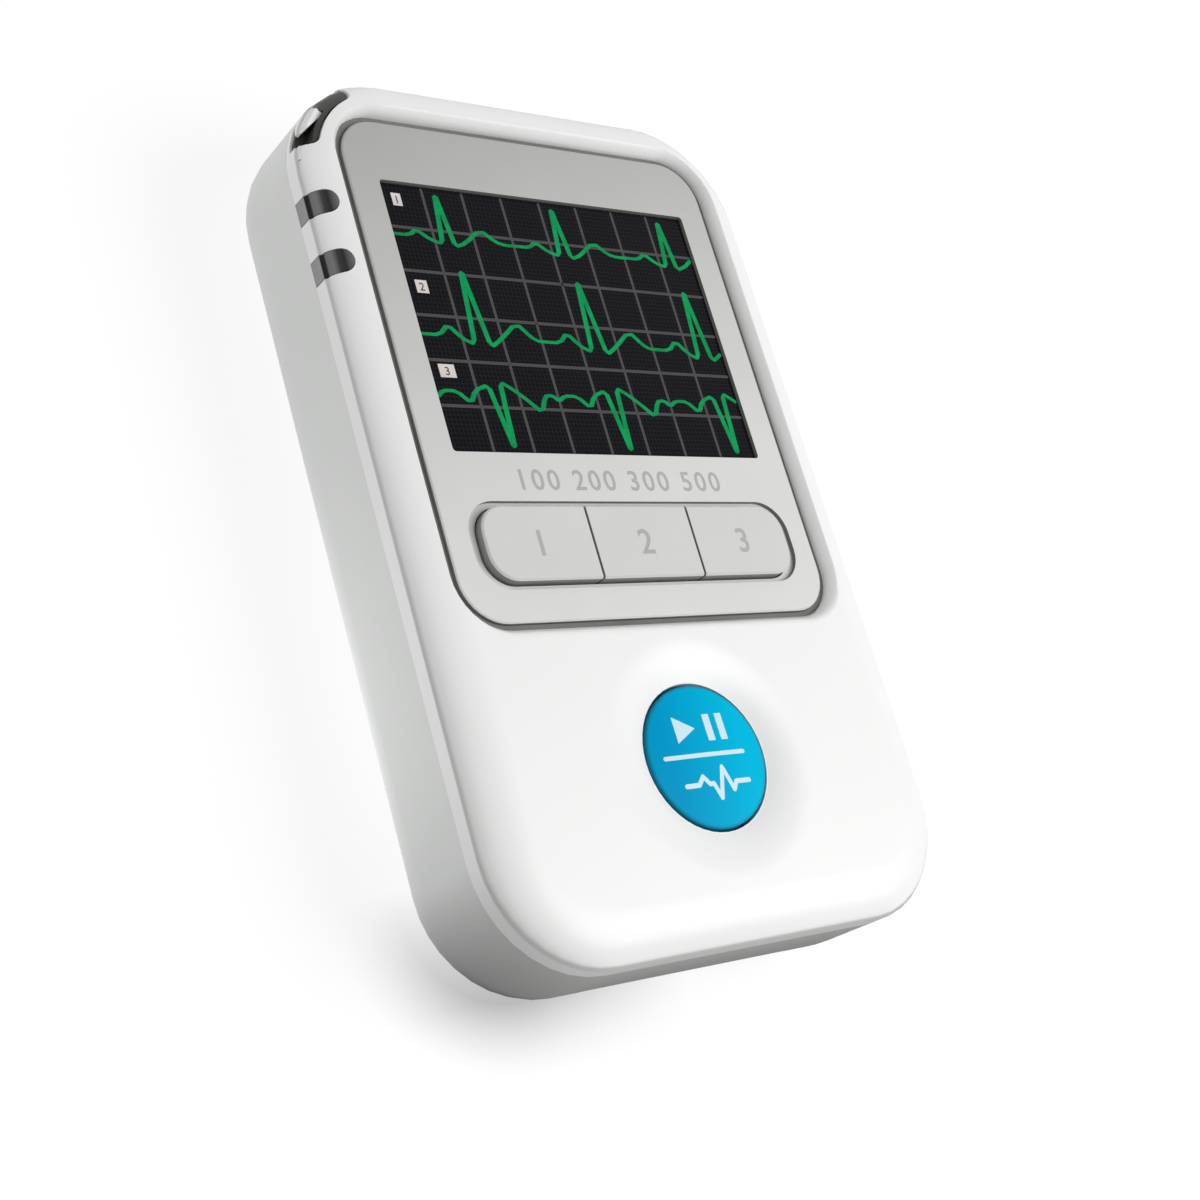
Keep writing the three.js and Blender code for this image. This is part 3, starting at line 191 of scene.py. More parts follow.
# The floor in metres, its two greys and the strengths of its light
FLOOR_CORNERS = ((-3, -3), (4, -3), (4, 3), (-3, 3))
FLOOR_HEIGHT = -0.3 * MM
FLOOR_DARKER = (0.24, 0.24, 0.24)
FLOOR_LIGHTER = (0.25, 0.25, 0.25)
SEEN_GLOW = 0.8
PAINTED_SHADOW_GLOW = 0.5
WHITE_GLOW = 1.0
TABLE_GLOW = 0.77
LEFT_GLOW = 1.3
AHEAD_GLOW = 1.1
NO_GLOW = 0.0

# Changes on the floor, millimetres, each from where it starts to where it ends
# The painted contact shadow by the case's lower left corner: its reach from the outline, its
# stretch across and along, and its falloff
CONTACT_EDGE = (7, -1)
CONTACT_X = (4, -16)
CONTACT_Y = (-34, -46)
CONTACT_FALL = 1.6
WHITE_FROM = (120, 300)
LEFT_X = ((-56, -38), (-20, -24))
LEFT_Y = ((12, -12), (-36, -22))
AHEAD_Y = (-58, -75)
CLEAR_OF_CASE = (1, 4)

# The camera in millimetres, with the directions that it faces and that are to its right
CAMERA_PLACE = (-128.709, -66.493, 154.945)
CAMERA_FACES = (0.63151502, 0.28604745, -0.72067027)
CAMERA_RIGHT = (0.77480108, -0.26820956, 0.57249185)
FOCAL_LENGTH = 57.984
SENSOR_WIDTH = 36
NEAREST_SEEN = 10

# Light around the case
WHITE = (1.0, 1.0, 1.0, 1.0)
AMBIENT_STRENGTH = 0.40
SEEN_WORLD_STRENGTH = 1.0
LAMP_AIM = (0, 0, 10 * MM)


# Building blocks of the materials
def new_material(name):
    material = bpy.data.materials.new(name)
    material.use_nodes = True
    tree = material.node_tree
    return material, tree, tree.nodes["Principled BSDF"]


def object_noise(tree, scale, detail=3.0):
    """Noise that stays with the object. The scale is in grains per metre."""
    place = tree.nodes.new("ShaderNodeTexCoord")
    noise = tree.nodes.new("ShaderNodeTexNoise")
    noise.inputs["Scale"].default_value = scale
    noise.inputs["Detail"].default_value = detail
    noise.inputs["Roughness"].default_value = 0.6
    tree.links.new(place.outputs["Object"], noise.inputs["Vector"])
    return noise.outputs["Fac"]


def spread(tree, value, low, high, from_low=0.3, from_high=0.7):
    """The range from from_low to from_high, turned into low to high."""
    ranged = tree.nodes.new("ShaderNodeMapRange")
    ranged.inputs["From Min"].default_value = from_low
    ranged.inputs["From Max"].default_value = from_high
    ranged.inputs["To Min"].default_value = low
    ranged.inputs["To Max"].default_value = high
    tree.links.new(value, ranged.inputs["Value"])
    return ranged.outputs["Result"]


def clouds(tree, scale, low=0, high=1):
    """Soft patches between two values."""
    return spread(tree, object_noise(tree, scale), low, high)


def math_node(tree, operation, first, second=None):
    node = tree.nodes.new("ShaderNodeMath")
    node.operation = operation
    for index, value in enumerate((first, second)):
        if isinstance(value, bpy.types.NodeSocket):
            tree.links.new(value, node.inputs[index])
        elif value is not None:
            node.inputs[index].default_value = value
    return node.outputs["Value"]


def axis_value(tree, axis):
    place = tree.nodes.new("ShaderNodeTexCoord")
    split = tree.nodes.new("ShaderNodeSeparateXYZ")
    tree.links.new(place.outputs["Object"], split.inputs["Vector"])
    return split.outputs[axis]


def climb(tree, value, start, end):
    """Zero up to the start and one from the end on, both in millimetres."""
    return spread(tree, value, 0, 1, start * MM, end * MM)


def climb_along(tree, axis, start, end):
    return climb(tree, axis_value(tree, axis), start, end)


def strip(tree, axis, near, far):
    """One on a strip across an axis, fading to zero over its near and its far edge."""
    rise = climb_along(tree, axis, *near)
    fall = climb_along(tree, axis, *far)
    return math_node(tree, "MULTIPLY", rise, fall)


def reach(tree, centre_y=0.0):
    """Distance from an upright line at x = 0 and y = centre_y millimetres."""
    x = math_node(tree, "POWER", axis_value(tree, "X"), 2.0)
    from_centre = math_node(tree, "SUBTRACT", axis_value(tree, "Y"), centre_y * MM)
    y = math_node(tree, "POWER", from_centre, 2.0)
    return math_node(tree, "SQRT", math_node(tree, "ADD", x, y))


def color_input(mix, name):
    return next(s for s in mix.inputs if s.name == name and s.type == "RGBA")


def mix_colors(tree, factor, first, second):
    mix = tree.nodes.new("ShaderNodeMix")
    mix.data_type = "RGBA"
    tree.links.new(factor, mix.inputs["Factor"])
    for socket, value in (("A", first), ("B", second)):
        if isinstance(value, bpy.types.NodeSocket):
            tree.links.new(value, color_input(mix, socket))
        else:
            color_input(mix, socket).default_value = (*value, 1.0)
    return next(s for s in mix.outputs if s.type == "RGBA")


def color_ramp(tree, value, stops):
    """Greys along a value, from (place, level) stops."""
    first, last = stops[0][0], stops[-1][0]
    ramp = tree.nodes.new("ShaderNodeValToRGB")
    elements = ramp.color_ramp.elements
    elements.remove(elements[1])
    elements[0].position = 0
    elements[0].color = (stops[0][1], stops[0][1], stops[0][1], 1)
    for place, level in stops[1:]:
        elements.new((place - first) / (last - first)).color = (level, level, level, 1)
    tree.links.new(climb(tree, value, first, last), ramp.inputs["Fac"])
    return ramp.outputs["Color"]


def shade(color, gain):
    return tuple(channel * gain for channel in color)


def add_bump(tree, shader, height, depth):
    bump = tree.nodes.new("ShaderNodeBump")
    bump.inputs["Distance"].default_value = depth
    bump.inputs["Strength"].default_value = 1.0
    tree.links.new(height, bump.inputs["Height"])
    tree.links.new(bump.outputs["Normal"], shader.inputs["Normal"])


def add_grain(tree, shader, grain, smooth, rough, depth):
    """Fine grain that varies the roughness and stands out by a depth in metres."""
    fine = object_noise(tree, grain, detail=2.0)
    tree.links.new(spread(tree, fine, smooth, rough), shader.inputs["Roughness"])
    add_bump(tree, shader, fine, depth)


def painted_wall_shade(tree, color, edge):
    """The colour on faces that look up or down, the edge colour on walls as painted shade."""
    side = tree.nodes.new("ShaderNodeNewGeometry")
    split = tree.nodes.new("ShaderNodeSeparateXYZ")
    tree.links.new(side.outputs["True Normal"], split.inputs["Vector"])
    upright = math_node(tree, "ABSOLUTE", split.outputs["Z"])
    return mix_colors(tree, spread(tree, upright, 0, 1, *WALL_TO_TOP), edge, color)


# Materials
def plastic(name, color, rough, variation=0.03, grain=9000, depth=4e-6, specular=0.5):
    material, tree, shader = new_material(name)
    tint = mix_colors(tree, clouds(tree, 60), shade(color, 1 - variation), color)
    tree.links.new(tint, shader.inputs["Base Color"])
    add_grain(tree, shader, grain, smooth=rough - 0.05, rough=rough + 0.05, depth=depth)
    shader.inputs["Specular IOR Level"].default_value = specular
    return material


def metal(name, color, rough, stretch=(1, 1, 1), grain=1200):
    material, tree, shader = new_material(name)
    place = tree.nodes.new("ShaderNodeTexCoord")
    mapping = tree.nodes.new("ShaderNodeMapping")
    mapping.inputs["Scale"].default_value = stretch
    noise = tree.nodes.new("ShaderNodeTexNoise")
    noise.inputs["Scale"].default_value = grain
    tree.links.new(place.outputs["Object"], mapping.inputs["Vector"])
    tree.links.new(mapping.outputs["Vector"], noise.inputs["Vector"])
    fine = noise.outputs["Fac"]
    tint = mix_colors(tree, spread(tree, fine, 0, 1), shade(color, 0.88), color)
    tree.links.new(tint, shader.inputs["Base Color"])
    tree.links.new(spread(tree, fine, rough - 0.08, rough + 0.08), shader.inputs["Roughness"])
    add_bump(tree, shader, fine, depth=3e-6)
    shader.inputs["Metallic"].default_value = 1.0
    return material


def panel_material():
    """Grey plate with painted shade: a little darker toward its top left corner, and dark on its
    walls.
    """
    material, tree, shader = new_material("panel_grey")
    across = math_node(tree, "MULTIPLY", axis_value(tree, "X"), PANEL_SLANT)
    slope = math_node(tree, "SUBTRACT", axis_value(tree, "Y"), across)
    painted_shade = climb(tree, slope, *PANEL_PAINTED_SHADE)
    base = mix_colors(tree, painted_shade, (0.42, 0.418, 0.408), (0.70, 0.70, 0.69))
    lift = tree.nodes.new("ShaderNodeHueSaturation")
    tree.links.new(base, lift.inputs["Color"])
    tree.links.new(clouds(tree, 90, 0.96, 1.0), lift.inputs["Value"])
    tint = painted_wall_shade(tree, lift.outputs["Color"], edge=(0.19, 0.187, 0.18))
    tree.links.new(tint, shader.inputs["Base Color"])
    add_grain(tree, shader, grain=11000, smooth=0.42, rough=0.56, depth=3e-6)
    return material


def white_shell_material():
    """White moulding with a fine shadow line along its crease."""
    material, tree, shader = new_material("shell_white")
    face = mix_colors(tree, clouds(tree, 60), (0.885, 0.885, 0.88), (0.90, 0.90, 0.895))
    tint = mix_colors(tree, strip(tree, "Z", *CREASE_SHADOW), face, (0.74, 0.74, 0.73))
    tree.links.new(tint, shader.inputs["Base Color"])
    add_grain(tree, shader, grain=7000, smooth=0.31, rough=0.41, depth=2e-6)
    return material


def grey_shell_material():
    """Grey moulding, a little darker at its bottom end with painted shade."""
    material, tree, shader = new_material("shell_grey")
    face = mix_colors(tree, clouds(tree, 60), (0.74, 0.755, 0.74), (0.77, 0.785, 0.77))
    tint = mix_colors(tree, climb_along(tree, "Y", *BOTTOM_END), face, (0.50, 0.51, 0.495))
    tree.links.new(tint, shader.inputs["Base Color"])
    add_grain(tree, shader, grain=5200, smooth=0.45, rough=0.55, depth=7e-6)
    return material


def key_material():
    """Light grey caps with painted shade on their walls."""
    material, tree, shader = new_material("key_grey")
    face = mix_colors(tree, clouds(tree, 90), (0.625, 0.625, 0.615), (0.65, 0.65, 0.64))
    tint = painted_wall_shade(tree, face, edge=(0.31, 0.305, 0.295))
    tree.links.new(tint, shader.inputs["Base Color"])
    add_grain(tree, shader, grain=10000, smooth=0.45, rough=0.55, depth=3e-6)
    return material


def blue_material():
    """Blue cap with painted shade toward its left side, and a darker rim, partly its own colour
    and partly painted shade.
    """
    material, tree, shader = new_material("button_blue")
    across = climb_along(tree, "X", *BUTTON_PAINTED_SHADE)
    face = mix_colors(tree, across, (0.0, 0.32, 0.60), (0.0, 0.50, 0.76))
    rim = climb(tree, reach(tree, BUTTON_Y), *BUTTON_RIM)
    tint = mix_colors(tree, rim, face, (0.01, 0.24, 0.38))
    tree.links.new(tint, shader.inputs["Base Color"])
    add_grain(tree, shader, grain=6000, smooth=0.26, rough=0.36, depth=2e-6)
    shader.inputs["Specular IOR Level"].default_value = 0.02
    return material


def lens_material():
    """Smoked lens, its greys painted reflection and shade: pale on the rim band, dark along the
    crease and again across the shoulder.
    """
    material, tree, shader = new_material("lens_smoke")
    side = color_ramp(tree, axis_value(tree, "Z"), LENS_SIDE)
    top = color_ramp(tree, axis_value(tree, "X"), LENS_TOP)
    tint = mix_colors(tree, climb_along(tree, "Z", *LENS_SHOULDER), side, top)
    tree.links.new(tint, shader.inputs["Base Color"])
    fine = object_noise(tree, 4000, detail=2.0)
    tree.links.new(spread(tree, fine, 0.24, 0.32), shader.inputs["Roughness"])
    shader.inputs["Specular IOR Level"].default_value = 0.15
    return material


def grid_line(tree, axis, start, pitch, width):
    """One where a ruled line with this pitch crosses the surface, zero elsewhere."""
    shifted = math_node(tree, "SUBTRACT", axis_value(tree, axis), start - width / 2)
    turns = math_node(tree, "DIVIDE", shifted, pitch)
    part = math_node(tree, "FRACT", turns)
    return math_node(tree, "LESS_THAN", part, width / pitch)


def screen_material():
    """Black glass over a screen with a fine dotted grid."""
    material, tree, shader = new_material("display_black")
    pitch = SQUARE / DOTS_IN_SQUARE * MM
    columns = grid_line(tree, "X", SCREEN_LEFT * MM, pitch, DOT_WIDTH * MM)
    lines = grid_line(tree, "Y", SCREEN_BOTTOM * MM, pitch, DOT_WIDTH * MM)
    ruled = math_node(tree, "MAXIMUM", columns, lines)
    dots = math_node(tree, "MULTIPLY", ruled, clouds(tree, 3000, 0.55, 1.0))
    tint = mix_colors(tree, dots, (0.0035, 0.0035, 0.006), (0.013, 0.013, 0.015))
    tree.links.new(tint, shader.inputs["Base Color"])
    tree.links.new(clouds(tree, 300, 0.2, 0.28), shader.inputs["Roughness"])
    shader.inputs["Specular IOR Level"].default_value = 0.04
    return material


def glow_material(name, color, strength, variation=0.12):
    """Lit marks on the screen."""
    material, tree, shader = new_material(name)
    tint = mix_colors(tree, clouds(tree, 700), shade(color, 1 - variation), color)
    tree.links.new(tint, shader.inputs["Base Color"])
    tree.links.new(tint, shader.inputs["Emission Color"])
    shader.inputs["Emission Strength"].default_value = strength
    shader.inputs["Roughness"].default_value = 0.4
    shader.inputs["Specular IOR Level"].default_value = 0.05
    return material


def sleeve_material(name, cell, toward):
    """Cell sleeve: dark body with a copper band toward its button end, 1 for up, -1 for down."""
    material, tree, shader = new_material(name)
    start = middle(cell)[1] + toward * BAND_FROM_MIDDLE
    band = climb_along(tree, "Y", start, start + toward * BAND_EDGE)
    tint = mix_colors(tree, band, (0.03, 0.032, 0.035), (0.55, 0.27, 0.12))
    tree.links.new(tint, shader.inputs["Base Color"])
    fine = object_noise(tree, 2500)
    tree.links.new(spread(tree, fine, 0.22, 0.34), shader.inputs["Roughness"])
    add_bump(tree, shader, fine, depth=3e-6)
    shader.inputs["Metallic"].default_value = 0.35
    return material


# The material of each slot
SLOTS = {
    "shell_white": white_shell_material(),
    "shell_grey": grey_shell_material(),
    "panel_grey": panel_material(),
    "key_grey": key_material(),
    "button_blue": blue_material(),
    "smoke_plastic": plastic("smoke_plastic", (0.045, 0.044, 0.04), rough=0.34, variation=0.2,
                             grain=4000, depth=2e-6, specular=0.25),
    "display_black": screen_material(),
    "cell_glass": plastic("cell_glass", (0.03, 0.035, 0.04), rough=0.12, variation=0.2,
                          grain=3000, depth=1e-6),
    # The foam also colours the seal ring in the panel's groove, a dark ring that stands in for
    # the groove's shade
    "foam": plastic("foam", (0.24, 0.237, 0.225), rough=0.85, variation=0.25, grain=3500,
                    depth=2e-5, specular=0.1),
    "board_green": plastic("board_green", (0.02, 0.16, 0.07), rough=0.4, variation=0.3,
                           grain=1800, depth=1e-5),
    "clear_sheet": plastic("clear_sheet", (0.55, 0.6, 0.6), rough=0.2, variation=0.1,
                           grain=2500, depth=3e-6),
    "ribbon": plastic("ribbon", (0.55, 0.24, 0.04), rough=0.35, variation=0.15, grain=2600),
    "black_plastic": plastic("black_plastic", (0.02, 0.02, 0.021), rough=0.45, variation=0.3,
                             grain=6000, depth=5e-6),
    "lamp": plastic("lamp", (0.82, 0.84, 0.80), rough=0.25, variation=0.1, grain=4000,
                    depth=3e-6),
    "steel": metal("steel", (0.62, 0.62, 0.61), rough=0.33),
    "nickel": metal("nickel", (0.72, 0.69, 0.63), rough=0.27, stretch=(1, 6, 1)),
    "cell_sleeve": sleeve_material("cell_sleeve", "battery_1", toward=1),
}
LENS = lens_material()

# Nodes that look different from the rest of their slot: the lenses, and the cell that lies turned
OWN_LOOKS = {
    "indicator_window_1": LENS,
    "indicator_window_2": LENS,
    "battery_2": sleeve_material("cell_sleeve_turned", "battery_2", toward=-1),
}


# Smooth shading of the solids
def skin_normal(place):
    """Exact outward normal of the case's skin at a point in millimetres, or None off the skin."""
    core = Vector((min(max(place.x, -CORE_X), CORE_X), min(max(place.y, -CORE_Y), CORE_Y)))
    out = Vector((place.x, place.y)) - core
    if out.length < 1:
        return None
    if place.z > CREASE_Z - CREASE_TOLERANCE:
        rise = min(max((place.z - CREASE_Z) / SHOULDER_DROP, 0), 1)
        turn = math.asin(rise)
        run = SHOULDER_RUN - CREASE_STEP
        inset = CREASE_STEP + run * (1 - math.cos(turn))
        across, up = SHOULDER_DROP * math.cos(turn), run * math.sin(turn)
    elif place.z < BACK_ROUNDING:
        turn = math.asin(min(1 - place.z / BACK_ROUNDING, 1))
        inset = BACK_ROUNDING * (1 - math.cos(turn))
        across, up = math.cos(turn), -math.sin(turn)
    else:
        inset = CREASE_STEP * max(1 - (CREASE_Z - place.z) / CREASE_RISE, 0)
        across, up = 1, 0
    if abs(out.length - (CORNER_RADIUS - inset)) > SKIN_TOLERANCE:
        return None
    out.normalize()
    return Vector((out.x * across, out.y * across, up)).normalized()


def is_blended(mesh, polygon):
    """True for the narrow faces of the crease and for slivers, which take the skin's normal."""
    heights = [mesh.vertices[vertex].co.z / MM for vertex in polygon.vertices]
    below = max(heights) < CREASE_Z + CREASE_TOLERANCE
    above = min(heights) > CREASE_Z - 2 * CREASE_RISE
    return (below and above) or polygon.area < SLIVER


def place_key(co):
    return tuple(round(value / SAME_PLACE) for value in co)


def smooth_normals(mesh, on_skin):
    """Corner normals: exact on the case's skin, else averaged over smooth neighbours."""
    flat = [polygon.normal.copy() for polygon in mesh.polygons]
    areas = [polygon.area for polygon in mesh.polygons]
    at_place = {}
    for polygon in mesh.polygons:
        for vertex in polygon.vertices:
            at_place.setdefault(place_key(mesh.vertices[vertex].co), []).append(polygon.index)
    limit = math.cos(math.radians(WIDEST_BEND))
    level = math.cos(math.radians(LEVEL_TILT))
    normals = [Vector((0, 0, 1))] * len(mesh.loops)
    for polygon in mesh.polygons:
        own = flat[polygon.index]
        blended = is_blended(mesh, polygon)
        for loop in polygon.loop_indices:
            co = mesh.vertices[mesh.loops[loop].vertex_index].co
            exact = skin_normal(co / MM) if on_skin else None
            if abs(own.z) > level:
                normals[loop] = own
            elif exact and (exact.dot(own) > limit or blended):
                normals[loop] = exact
            else:
                total = Vector()
                for other in at_place[place_key(co)]:
                    if own.dot(flat[other]) > limit:
                        total += flat[other] * areas[other]
                normals[loop] = total.normalized() if total.length > 0 else own
    for polygon in mesh.polygons:
        polygon.use_smooth = True
    mesh.normals_split_custom_set(normals)


def finish_nodes():
    slots = {row["node"]: row["material_slot"] for row in frame["record"]["subparts"]}
    for name, node in frame["nodes"].items():
        node.data.materials.clear()
        node.data.materials.append(OWN_LOOKS.get(name) or SLOTS[slots[name]])
        smooth_normals(node.data, name in SKIN_NODES)


# Prints and screen marks, thin solids laid on the surface under them
surfaces = {}


def surface_height(node, x, y):
    """Height of a node's top at x, y, all in metres."""
    if node not in surfaces:
        mesh = frame["nodes"][node].data
        corners = [vertex.co.copy() for vertex in mesh.vertices]
        faces = [tuple(polygon.vertices) for polygon in mesh.polygons]
        surfaces[node] = BVHTree.FromPolygons(corners, faces)
    well_above = 50 * MM
    hit = surfaces[node].ray_cast(Vector((x, y, well_above)), Vector((0, 0, -1)))
    return hit[0].z


def add_piece(name, mesh, body, material):
    mesh.materials.clear()
    mesh.materials.append(material)
    piece = bpy.data.objects.new(name, mesh)
    scene.collection.objects.link(piece)
    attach(piece, body)


def print_piece(name, outlines, node, body, material, lift=PRINT_LIFT):
    """Closed thin solid from flat polygons in millimetres, laid on the top of a node."""
    form = bmesh.new()
    for index, outline in enumerate(outlines):
        rings = []
        for height in (-lift, lift + STAGGER * (index % STAGGER_STEPS)):
            ring = []
            for x, y in outline:
                top = surface_height(node, x * MM, y * MM)
                ring.append(form.verts.new((x * MM, y * MM, top + height * MM)))
            rings.append(ring)
        low, high = rings
        form.faces.new(high)
        form.faces.new(list(reversed(low)))
        count = len(outline)
        for corner in range(count):
            after = (corner + 1) % count
            form.faces.new((low[corner], low[after], high[after], high[corner]))
    bmesh.ops.recalc_face_normals(form, faces=form.faces)
    mesh = bpy.data.meshes.new(name)
    form.to_mesh(mesh)
    form.free()
    add_piece(name, mesh, body, material)


def number_piece(name, text, x, y, height, node, body, material, spacing=1.0):
    """Plain numbers as one thin solid laid on the top of a node, centred at x, y."""
    words = bpy.data.curves.new(name, "FONT")
    words.body = text
    words.size = height * FONT_SIZE * MM
    words.space_character = spacing
    words.align_x = "CENTER"
    words.resolution_u = CURVE_STEPS
    words.offset = BOLD * height * MM
    words.extrude = PRINT_LIFT * MM
    holder = bpy.data.objects.new(name, words)
    scene.collection.objects.link(holder)
    shaped = holder.evaluated_get(bpy.context.evaluated_depsgraph_get())
    mesh = bpy.data.meshes.new_from_object(shaped)
    bpy.data.objects.remove(holder)
    top = surface_height(node, x * MM, y * MM)
    across = [vertex.co.x for vertex in mesh.vertices]
    centre = (min(across) + max(across)) / 2
    mesh.transform(Matrix.Translation((x * MM - centre, (y - height / 2) * MM, top)))
    add_piece(name, mesh, body, material)


def disc(x, y, radius):
    turns = [index * 2 * math.pi / STROKE_END_SIDES for index in range(STROKE_END_SIDES)]
    return [(x + radius * math.cos(turn), y + radius * math.sin(turn)) for turn in turns]


def strokes(points, width, steep_width=None):
    """Bars along a polyline with round joints. Steep bars may be wider."""
    shapes = []
    flat = [Vector(point) for point in points]
    for first, second in zip(flat, flat[1:]):
        along = (second - first).normalized()
        wide = width + ((steep_width or width) - width) * along.y ** 2
        side = Vector((-along.y, along.x)) * (wide / 2)
        bar = (first - side, second - side, second + side, first + side)
        shapes.append([tuple(corner) for corner in bar])
    shapes += [disc(*point, width / 2) for point in flat]
    return shapes


def rectangle(left, bottom, width, height):
    right, top = left + width, bottom + height
    return [(left, bottom), (right, bottom), (right, top), (left, top)]


# The screen
def screen_place(column, row):
    return (SCREEN_LEFT + column * SQUARE, SCREEN_BOTTOM + row * SQUARE)


def trace_points(beat):
    """One row's curve: its beats in turn, cut at the screen's edge, with eased corners."""
    along = [(px + BEAT_LENGTH * turn, py) for turn in range(BEAT_COUNT) for px, py in beat]
    kept = [point for point in along if point[0] < TRACE_END]
    beyond = along[len(kept)]
    last = kept[-1]
    share = (TRACE_END - last[0]) / (beyond[0] - last[0])
    kept.append((TRACE_END, last[1] + share * (beyond[1] - last[1])))
    kept[0] = (TRACE_START, kept[0][1])
    rounded = [kept[0]]
    for first, second in zip(kept, kept[1:]):
        steep = abs(second[1] - first[1]) > STEEP_STEP
        ease = STEEP_EASE if steep else GENTLE_EASE
        for part in (ease, 1 - ease):
            rounded.append(tuple(a + part * (b - a) for a, b in zip(first, second)))
    rounded.append(kept[-1])
    return [screen_place(*point) for point in rounded]


def grid_strokes():
    lines = []
    for column in range(1, COLUMNS):
        ends = [screen_place(column, GRID_MARGIN), screen_place(column, ROWS - GRID_MARGIN)]
        lines += strokes(ends, GRID_WIDTH)
    for row in range(1, ROWS):
        ends = [screen_place(GRID_MARGIN, row), screen_place(COLUMNS - GRID_MARGIN, row)]
        lines += strokes(ends, GRID_WIDTH)
    return lines


def dress_screen():
    grid_mat = glow_material("screen_grid", (0.058, 0.056, 0.056), strength=0.35)
    trace_mat = glow_material("screen_green", (0.003, 0.27, 0.08), strength=0.35, variation=0.35)
    tag_mat = glow_material("screen_tag", (0.60, 0.55, 0.53), strength=0.25)
    mark_mat = glow_material("screen_mark", (0.10, 0.08, 0.08), strength=0.1)
    on_screen = ("display_window", "recorder_body")
    print_piece("screen_grid", grid_strokes(), *on_screen, grid_mat, GRID_LIFT)
    for index, beat in enumerate(BEATS):
        row = str(index + 1)
        curve = strokes(trace_points(beat), TRACE_WIDTH, STEEP_TRACE_WIDTH)
        print_piece("screen_trace_" + row, curve, *on_screen, trace_mat)
        left, base = screen_place(*TAG_PLACES[index])
        width = TAG_WIDTHS[index]
        tag = rectangle(left, base, width, TAG_HEIGHT)
        print_piece("screen_tag_" + row, [tag], *on_screen, tag_mat, TAG_LIFT)
        x, y = left + width / 2, base + TAG_HEIGHT / 2
        number_piece("screen_number_" + row, row, x, y, TAG_DIGIT, *on_screen, mark_mat)


# The panel and its keys
def dress_panel():
    legend = plastic("legend_grey", (0.42, 0.42, 0.415), rough=0.55, variation=0.06)
    for index in range(3):
        digit = str(index + 1)
        key = "soft_key_" + digit
        x = (index - 1) * KEY_DIGIT_PITCH
        number_piece("key_digit_" + digit, digit, x, KEY_ROW_Y, KEY_DIGIT, key, key + "_body",
                     legend)
    number_piece("panel_scale", SCALE_TEXT, 0, SCALE_Y, SCALE_DIGIT, "front_panel",
                 "recorder_body", legend, SCALE_SPACING)


# The event button
def on_button(points):
    return [(x, BUTTON_Y + y) for x, y in points]


def dress_button():
    white = plastic("print_white", (0.62, 0.83, 0.90), rough=0.45, variation=0.06)
    bar = [(BAR_START + BAR_STEP * step, BAR_Y) for step in range(BAR_POINTS)]
    pause = [rectangle(left, PAUSE_BOTTOM, *PAUSE_SIZE) for left in PAUSE_LEFTS]
    marks = {
        "button_bar": strokes(on_button(bar), BAR_WIDTH),
        "button_start_mark": [on_button(shape) for shape in (START_MARK, *pause)],
        "button_event_mark": strokes(on_button(PULSE), PULSE_WIDTH),
    }
    for name, shapes in marks.items():
        print_piece(name, shapes, "event_button", "event_button_body", white, BUTTON_LIFT)


# Stage: a pale floor that shows the case's shadow and lights the case like an evenly lit table
def emission(tree, strength):
    glow = tree.nodes.new("ShaderNodeEmission")
    glow.inputs["Strength"].default_value = strength
    return glow.outputs[0]


def mix_shaders(tree, factor, first, second):
    mix = tree.nodes.new("ShaderNodeMixShader")
    tree.links.new(factor, mix.inputs["Fac"])
    tree.links.new(first, mix.inputs[1])
    tree.links.new(second, mix.inputs[2])
    return mix.outputs[0]


def outline_distance(tree):
    """Distance on the floor from the case's outline."""
    beyond = []
    for axis, core in (("X", CORE_X), ("Y", CORE_Y)):
        from_middle = math_node(tree, "ABSOLUTE", axis_value(tree, axis))
        away = math_node(tree, "SUBTRACT", from_middle, core * MM)
        beyond.append(math_node(tree, "POWER", math_node(tree, "MAXIMUM", away, 0.0), 2.0))
    far = math_node(tree, "SQRT", math_node(tree, "ADD", *beyond))
    return math_node(tree, "SUBTRACT", far, CORNER_RADIUS * MM)


def shown_floor(tree):
    """The floor as it is seen: shadowed near the case, with a painted contact shadow by its lower
    left corner, white farther out.
    """
    matt = tree.nodes.new("ShaderNodeBsdfDiffuse")
    tint = mix_colors(tree, clouds(tree, 3), FLOOR_DARKER, FLOOR_LIGHTER)
    tree.links.new(tint, matt.inputs["Color"])
    both = tree.nodes.new("ShaderNodeAddShader")
    tree.links.new(matt.outputs[0], both.inputs[0])
    tree.links.new(emission(tree, SEEN_GLOW), both.inputs[1])
    near = climb(tree, outline_distance(tree), *CONTACT_EDGE)
    low = climb_along(tree, "Y", *CONTACT_Y)
    left = climb_along(tree, "X", *CONTACT_X)
    corner = math_node(tree, "MULTIPLY", low, left)
    painted_shadow = math_node(tree, "MULTIPLY", math_node(tree, "POWER", near, CONTACT_FALL), corner)
    touched = mix_shaders(tree, painted_shadow, both.outputs[0], emission(tree, PAINTED_SHADOW_GLOW))
    outward = climb(tree, reach(tree), *WHITE_FROM)
    return mix_shaders(tree, outward, touched, emission(tree, WHITE_GLOW))


def floor_light(tree, ray_length):
    """The floor as it lights the case: brighter beside the lower left wall, dark close ahead."""
    beside = math_node(tree, "MULTIPLY", strip(tree, "X", *LEFT_X), strip(tree, "Y", *LEFT_Y))
    level = mix_shaders(tree, beside, emission(tree, TABLE_GLOW), emission(tree, LEFT_GLOW))
    far_ahead = climb_along(tree, "Y", *AHEAD_Y)
    ahead = mix_shaders(tree, far_ahead, emission(tree, NO_GLOW), emission(tree, AHEAD_GLOW))
    around = mix_shaders(tree, climb_along(tree, "Y", *BOTTOM_END), level, ahead)
    apart = climb(tree, ray_length, *CLEAR_OF_CASE)
    return mix_shaders(tree, apart, emission(tree, TABLE_GLOW), around)


